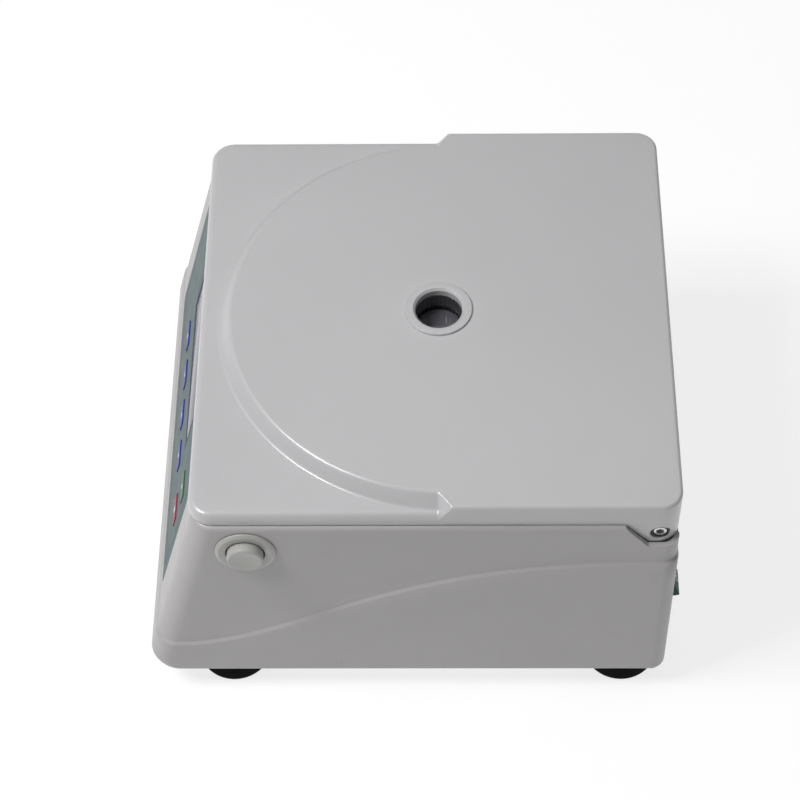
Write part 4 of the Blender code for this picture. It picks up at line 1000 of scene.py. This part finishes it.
def make_chamber():
    r, floor = 0.104, 0.08
    rim = bowl_high.z
    profile = rounded([
        (r - 0.0002, rim, 0.0008), (r + 0.0065, rim, 0.0003), (r + 0.0065, DECK + GAP),
        (r + 0.0003, DECK + GAP), (r - 0.0048, 0.096, 0.008), (r - 0.015, floor - 0.0012, 0.006),
        (0.024, floor - 0.0012), (0.024, floor), (r - 0.016, floor, 0.008), (r - 0.0062, 0.096, 0.01),
        (r - 0.001, DECK - 0.001)], 8)
    add_turned("chamber_liner", profile, 160, ON_AXIS, "base", "bowl_steel", "chamber_bowl")
    low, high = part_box("chamber_gasket")
    profile = rounded([
        (0.1055, high.z, 0.0008), (0.1075, high.z, 0.0008), (0.109, high.z - 0.0014, 0.0005),
        (0.109, low.z, 0.0002), (0.1048, low.z, 0.0002), (0.1048, high.z - 0.0014, 0.0005)], 5)
    add_turned("chamber_seal", profile, 160, ON_AXIS, "base", "seal_rubber", "chamber_gasket")
    base = floor + GAP
    profile = rounded([
        (0.007, 0.09, 0.0005), (0.01, 0.09, 0.001), (0.015, 0.0835, 0.002), (0.023, 0.0815, 0.002),
        (0.026, base, 0.0002), (0.0234, base), (0.0234, 0.0775), (0.013, 0.0775, 0.001),
        (0.007, 0.085, 0.001)], 5)
    add_turned("shaft_gaiter", profile, 72, ON_AXIS, "base", "seal_rubber", "shaft_boot")


def make_rotor():
    low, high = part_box("rotor")
    r, bore = 0.086, 0.0043
    foot, top = low.z, high.z
    profile = rounded([
        (bore, 0.1455), (0.018, 0.1455, 0.001), (0.024, top, 0.0015), (0.042, top, 0.003),
        (r - 0.004, 0.134, 0.002), (r, 0.129, 0.002), (r, 0.118, 0.003), (r - 0.016, foot, 0.002),
        (bore, foot)], 6)
    body = to_object("angle_rotor", turned(profile, 160), ON_AXIS)
    tilt, pocket = math.radians(35), 0.0086
    cuts = []
    for i in range(8):
        turn = math.tau * (i + 0.5) / 8
        outward = Vector((math.cos(turn), math.sin(turn), 0))
        down = outward * math.sin(tilt) - Vector((0, 0, math.cos(tilt)))
        start = Vector((0, AXIS_Y, 0.145)) + outward * 0.056
        shape = rounded([
            (0, 0.02), (pocket + 0.004, 0.02), (pocket, -0.001, 0.001), (pocket, -0.034, 0.003),
            (0, -0.034)], 5)
        cuts.append((turned(shape, 48), pointing(-down, start)))
    combine(body, cuts, smooth=30.0)
    add(body, "rotor", "rotor_aluminium", "rotor")
    low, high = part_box("rotor_nut")
    profile = rounded([
        (0, high.z), (0.01, high.z, 0.001), (0.0125, high.z - 0.002, 0.0008),
        (0.0125, low.z + 0.004, 0.0005), (0.0145, low.z + 0.002, 0.0005), (0.0145, low.z, 0.0002),
        (0.0052, low.z), (0.0052, low.z + 0.008), (0, low.z + 0.008)], 4)
    nut = to_object("rotor_cap_nut", turned(profile, 96), ON_AXIS)
    grips = []
    for i in range(12):
        turn = math.tau * i / 12
        spot = Vector((0.0136 * math.cos(turn), AXIS_Y + 0.0136 * math.sin(turn), low.z + 0.0036))
        grip = [(0, 0), (0.0017, 0), (0.0017, 0.02), (0, 0.02)]
        grips.append((turned(grip, 24), Matrix.Translation(spot)))
    combine(nut, grips, smooth=35.0)
    add(nut, "rotor", "black_plastic", "rotor_nut")


# Hinges, feet and rear fittings

def make_hinges():
    for name, side in (("left", -1), ("right", 1)):
        spot = middle(f"hinge_bush_{name}")
        place = pointing((side, 0, 0), (side * 0.1465, spot.y, spot.z))
        bush = rounded([
            (0.0046, 0.0045, 0.0003), (0.0057, 0.0045, 0.0004), (0.0057, -0.0045, 0.0003),
            (0.0029, -0.0045), (0.0029, -0.0005), (0.0046, -0.0005)], 4)
        add_turned(f"hinge_sleeve_{name}", bush, 64, place, "base", "black_plastic",
            f"hinge_bush_{name}")
        head = rounded([
            (0, 0.0043), (0.00425, 0.0043, 0.0006), (0.00425, 0, 0.0001), (0.0025, 0),
            (0.0025, -0.0095, 0.0004), (0, -0.0095)], 4)
        screw = to_object(f"hinge_bolt_{name}", turned(head, 64), place)
        socket = turned([(0, 0.0012), (0.00275, 0.0012), (0.00275, 0.006), (0, 0.006)], 6)
        combine(screw, [(socket, place)], smooth=30.0)
        add(screw, "base", "fastener_steel", f"hinge_screw_{name}")


def make_feet():
    for place in ("front_left", "front_right", "rear_left", "rear_right"):
        low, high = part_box(f"suction_foot_{place}")
        spot, r = (low + high) / 2, (high.x - low.x) / 2
        profile = rounded([
            (0, high.z), (0.014, high.z, 0.0005), (0.0146, 0.017, 0.0005), (0.0156, 0.0164, 0.0005),
            (0.0156, 0.0152, 0.0005), (0.0148, 0.0135, 0.002), (0.0205, 0.009, 0.006), (r, 0.0022, 0.0012),
            (r - 0.0008, 0, 0.0004), (0.0215, 0, 0.0005), (0.012, 0.0035, 0.003), (0, 0.0045)], 6)
        add_turned(f"foot_{place}", profile, 96, Matrix.Translation((spot.x, spot.y, 0)), "base",
                   "foot_rubber", f"suction_foot_{place}")


def make_rear_plate():
    """The plate in the rear wall, with holes for the inlet, the fuse and the switch."""
    spot = (-REAR_PLATE.x, REAR_PLATE.z)
    face = rectangle(REAR_PLATE_HALF_WIDTH - GAP, REAR_PLATE_HALF_HEIGHT - GAP, 0.0017, 5, spot)
    lip = rectangle(REAR_PLATE_HALF_WIDTH + REAR_PLATE_LIP, REAR_PLATE_HALF_HEIGHT + REAR_PLATE_LIP, 0.003,
                    5, spot)
    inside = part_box("rear_panel")[0].y - REAR_WALL
    panel = to_object("rear_plate", plate(face, inside + 0.0018, 0.0, 0.0005, 3, 0.0), REAR)
    combine(panel, [(plate(lip, inside, inside + 0.002), REAR)], "UNION")
    combine(panel, [rear_cut(ROCKER_X, ROCKER_Z, 0.0112, 0.0142, 0.001),
                    rear_cut(INLET_X, INLET_Z, 0.014, 0.0104, 0.001),
                    (plate(circle(0.0066, 48, (-FUSE_X, INLET_Z)), -0.02, 0.01), REAR)])
    add(panel, "base", "case_white", "rear_panel")


def make_rear():
    flange = rounded([(x, z, 0.002) for x, z in ((0.0245, -0.0118), (0.0245, 0.0118),
                                                  (-0.0245, 0.0118), (-0.0245, -0.0118))], 5)
    at_inlet = REAR @ Matrix.Translation((-INLET_X, INLET_Z, 0))
    inlet = to_object("mains_inlet", plate(flange, GAP, 0.0027, 0.0006, 3, 0.0), at_inlet)
    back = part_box("inlet_pins")[0].y - REAR_WALL
    shell = plate(rectangle(0.0136, 0.01, 0.0015, 4), back + 0.0043, 0.001)
    combine(inlet, [(shell, at_inlet)], "UNION")
    socket = rounded([
        (0.012, -0.0082, 0.0008), (0.012, 0.0044, 0.0008), (0.008, 0.0082, 0.0008),
        (-0.008, 0.0082, 0.0008), (-0.012, 0.0044, 0.0008), (-0.012, -0.0082, 0.0008)], 3)
    dimples = [(turned([(0, 0.0012), (0.0016, 0.0012), (0.0034, 0.005), (0, 0.005)], 32),
                at_inlet @ Matrix.Translation((side * 0.02, 0, 0))) for side in (-1, 1)]
    combine(inlet, [(plate(socket, -0.03, 0.01), at_inlet), *dimples])
    add(inlet, "base", "black_plastic", "power_inlet")
    rear_half = plate(rectangle(0.0136, 0.01, 0.0015, 4), back, back + 0.004)
    holder = to_object("inlet_back", rear_half, at_inlet)
    add(holder, "base", "black_plastic", "inlet_pins")
    for i, rise in enumerate((-0.0015, 0.0015, -0.0015)):
        section = rectangle(0.001, 0.002, 0.0004, 3, (0.007 * (i - 1), rise))
        blade = plate(section, back + 0.003, -0.0005, 0.0004)
        add(to_object(f"inlet_pin_{i + 1}", blade, at_inlet), "base", "fastener_steel")

    cap = rounded([
        (0, 0.007), (0.006, 0.007, 0.0005), (0.0065, 0.003, 0.0002), (0.0085, 0.0026, 0.0006),
        (0.0085, GAP), (0.0062, GAP), (0.0062, -0.03, 0.0005), (0, -0.03)], 4)
    at_fuse = REAR @ Matrix.Translation((-FUSE_X, INLET_Z, 0))
    fuse = to_object("fuse_cap", turned(cap, 64), at_fuse)
    slots = [(soft_box((-0.0045, -0.0006, 0.0056), (0.0045, 0.0006, 0.009), 0.0001, 1), at_fuse)]
    for i in range(18):
        turn = math.tau * i / 18
        slots.append((turned([(0, 0.0032), (0.00045, 0.0032), (0.00045, 0.008), (0, 0.008)], 10),
                      at_fuse @ Matrix.Translation((0.0065 * math.cos(turn), 0.0065 * math.sin(turn), 0))))
    combine(fuse, slots, smooth=35.0)
    add(fuse, "base", "black_plastic", "fuse_holder")

    at_rocker = REAR @ Matrix.Translation((-ROCKER_X, ROCKER_Z, 0))
    switch_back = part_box("rocker_housing")[0].y - REAR_WALL
    rim = plate(rectangle(0.013, 0.016, 0.0015, 5), GAP, 0.0023, 0.0006, 3, 0.0)
    housing = to_object("switch_frame", rim, at_rocker)
    combine(housing, [(plate(rectangle(0.0109, 0.0139, 0.001, 4), switch_back, 0.001), at_rocker)], "UNION")
    combine(housing, [(plate(rectangle(0.01, 0.0131, 0.0006, 4), switch_back + 0.008, 0.01), at_rocker)])
    add(housing, "base", "black_plastic", "rocker_housing")
    outline = rounded([
        (0.0018, 0, 0.006), (0.0033, 0.0118, 0.0006), (0, 0.0121, 0.001), (-0.004, 0.0115, 0.001),
        (-0.009, 0.006, 0.001), (-0.009, -0.006, 0.001), (-0.004, -0.0115, 0.001), (0, -0.0121, 0.001),
        (0.0033, -0.0118, 0.0006)], 5)
    pivot = Matrix.Translation((ROCKER_X, REAR_WALL + 0.003, ROCKER_Z))
    pivot = pivot @ Matrix.Rotation(ROCKER_TILT, 4, "X")
    width = 0.0097
    add(to_object("switch_rocker", plate(outline, -width, width, 0.0005), pivot @ ACROSS), "rocker",
        "rocker_green", "power_rocker")
    sign = math.atan(1.5 / 11.8)
    upper = pivot @ Matrix.Translation((0, 0.00262, 0.0065)) @ Matrix.Rotation(sign, 4, "X").inverted()
    flat = axes((-1, 0, 0), (0, 0, 1), (0, 1, 0), (0, 0, 0))
    bar = plate(rectangle(0.00035, 0.0022, 0.0002, 3), 0.0, 0.00006)
    add(to_object("switch_mark_on", bar, upper @ flat), "rocker", "rocker_green", look="ink_white")
    lower = pivot @ Matrix.Translation((0, 0.00262, -0.0065)) @ Matrix.Rotation(sign, 4, "X")
    ring = turned([(0.0022, 0.0), (0.0022, 0.00006), (0.0016, 0.00006), (0.0016, 0.0)], 40)
    add(to_object("switch_mark_off", ring, lower @ flat), "rocker", "rocker_green", look="ink_white")


# Studio and camera

def make_floor():
    recipe = Recipe("floor_paper", 0.9)
    cloud = recipe.noise(3.0, 2.0)
    recipe.link(recipe.blend(cloud, (0.24, 0.24, 0.24), (0.25, 0.25, 0.25)), "Base Color")
    recipe.set("Emission Color", (1.0, 1.0, 1.0, 1.0))
    recipe.set("Emission Strength", 0.77)
    floor = to_object("floor", plate(circle(4.0, 96), -0.02, -0.0001))
    floor.data.materials.append(recipe.material)


def area_light(name, position, target, size, power):
    light = bpy.data.lights.new(name, "AREA")
    light.shape = "RECTANGLE"
    light.size, light.size_y = size
    light.energy = power
    obj = bpy.data.objects.new(name, light)
    bpy.context.scene.collection.objects.link(obj)
    obj.location = position
    obj.rotation_mode = "QUATERNION"
    obj.rotation_quaternion = (Vector(target) - Vector(position)).to_track_quat("-Z", "Y")


def make_studio():
    make_floor()
    centre = (0.0, 0.0, 0.1)
    area_light("key", (0.33, -1.25, 2.03), centre, (0.8, 0.8), 44.0)
    area_light("sky", (-0.5, 0.3, 2.6), centre, (2.0, 2.0), 12.0)
    world = bpy.data.worlds.new("studio")
    world.use_nodes = True
    background = world.node_tree.nodes["Background"]
    background.inputs["Color"].default_value = (1.0, 1.0, 1.0, 1.0)
    background.inputs["Strength"].default_value = 0.16
    scene = bpy.context.scene
    scene.world = world
    scene.view_settings.view_transform = "Standard"


CAMERA_TARGET = Vector((0.0, -0.00968, 0.09655))
CAMERA_DISTANCE = 1.55235
CAMERA_ELEVATION, CAMERA_YAW, CAMERA_ROLL = math.radians(54.0), math.radians(1.54), math.radians(-1.39)
CAMERA_LENS = 103.9


def make_camera():
    back = Vector((math.cos(CAMERA_ELEVATION) * math.cos(CAMERA_YAW),
                   math.cos(CAMERA_ELEVATION) * math.sin(CAMERA_YAW), math.sin(CAMERA_ELEVATION)))
    right = (-back).cross(Vector((0, 0, 1))).normalized()
    up = right.cross(-back)
    cos, sin = math.cos(CAMERA_ROLL), math.sin(CAMERA_ROLL)
    data = bpy.data.cameras.new("camera")
    data.lens = CAMERA_LENS
    data.sensor_width = 36.0
    camera = bpy.data.objects.new("camera", data)
    bpy.context.scene.collection.objects.link(camera)
    camera.matrix_world = axes(right * cos + up * sin, up * cos - right * sin, back,
                               CAMERA_TARGET + back * CAMERA_DISTANCE)
    bpy.context.scene.camera = camera


make_camera()
make_studio()
make_lid_cover()
make_port()
make_liner()
make_case()
make_panel()
make_release()
make_chamber()
make_rotor()
make_hinges()
make_feet()
make_rear_plate()
make_rear()
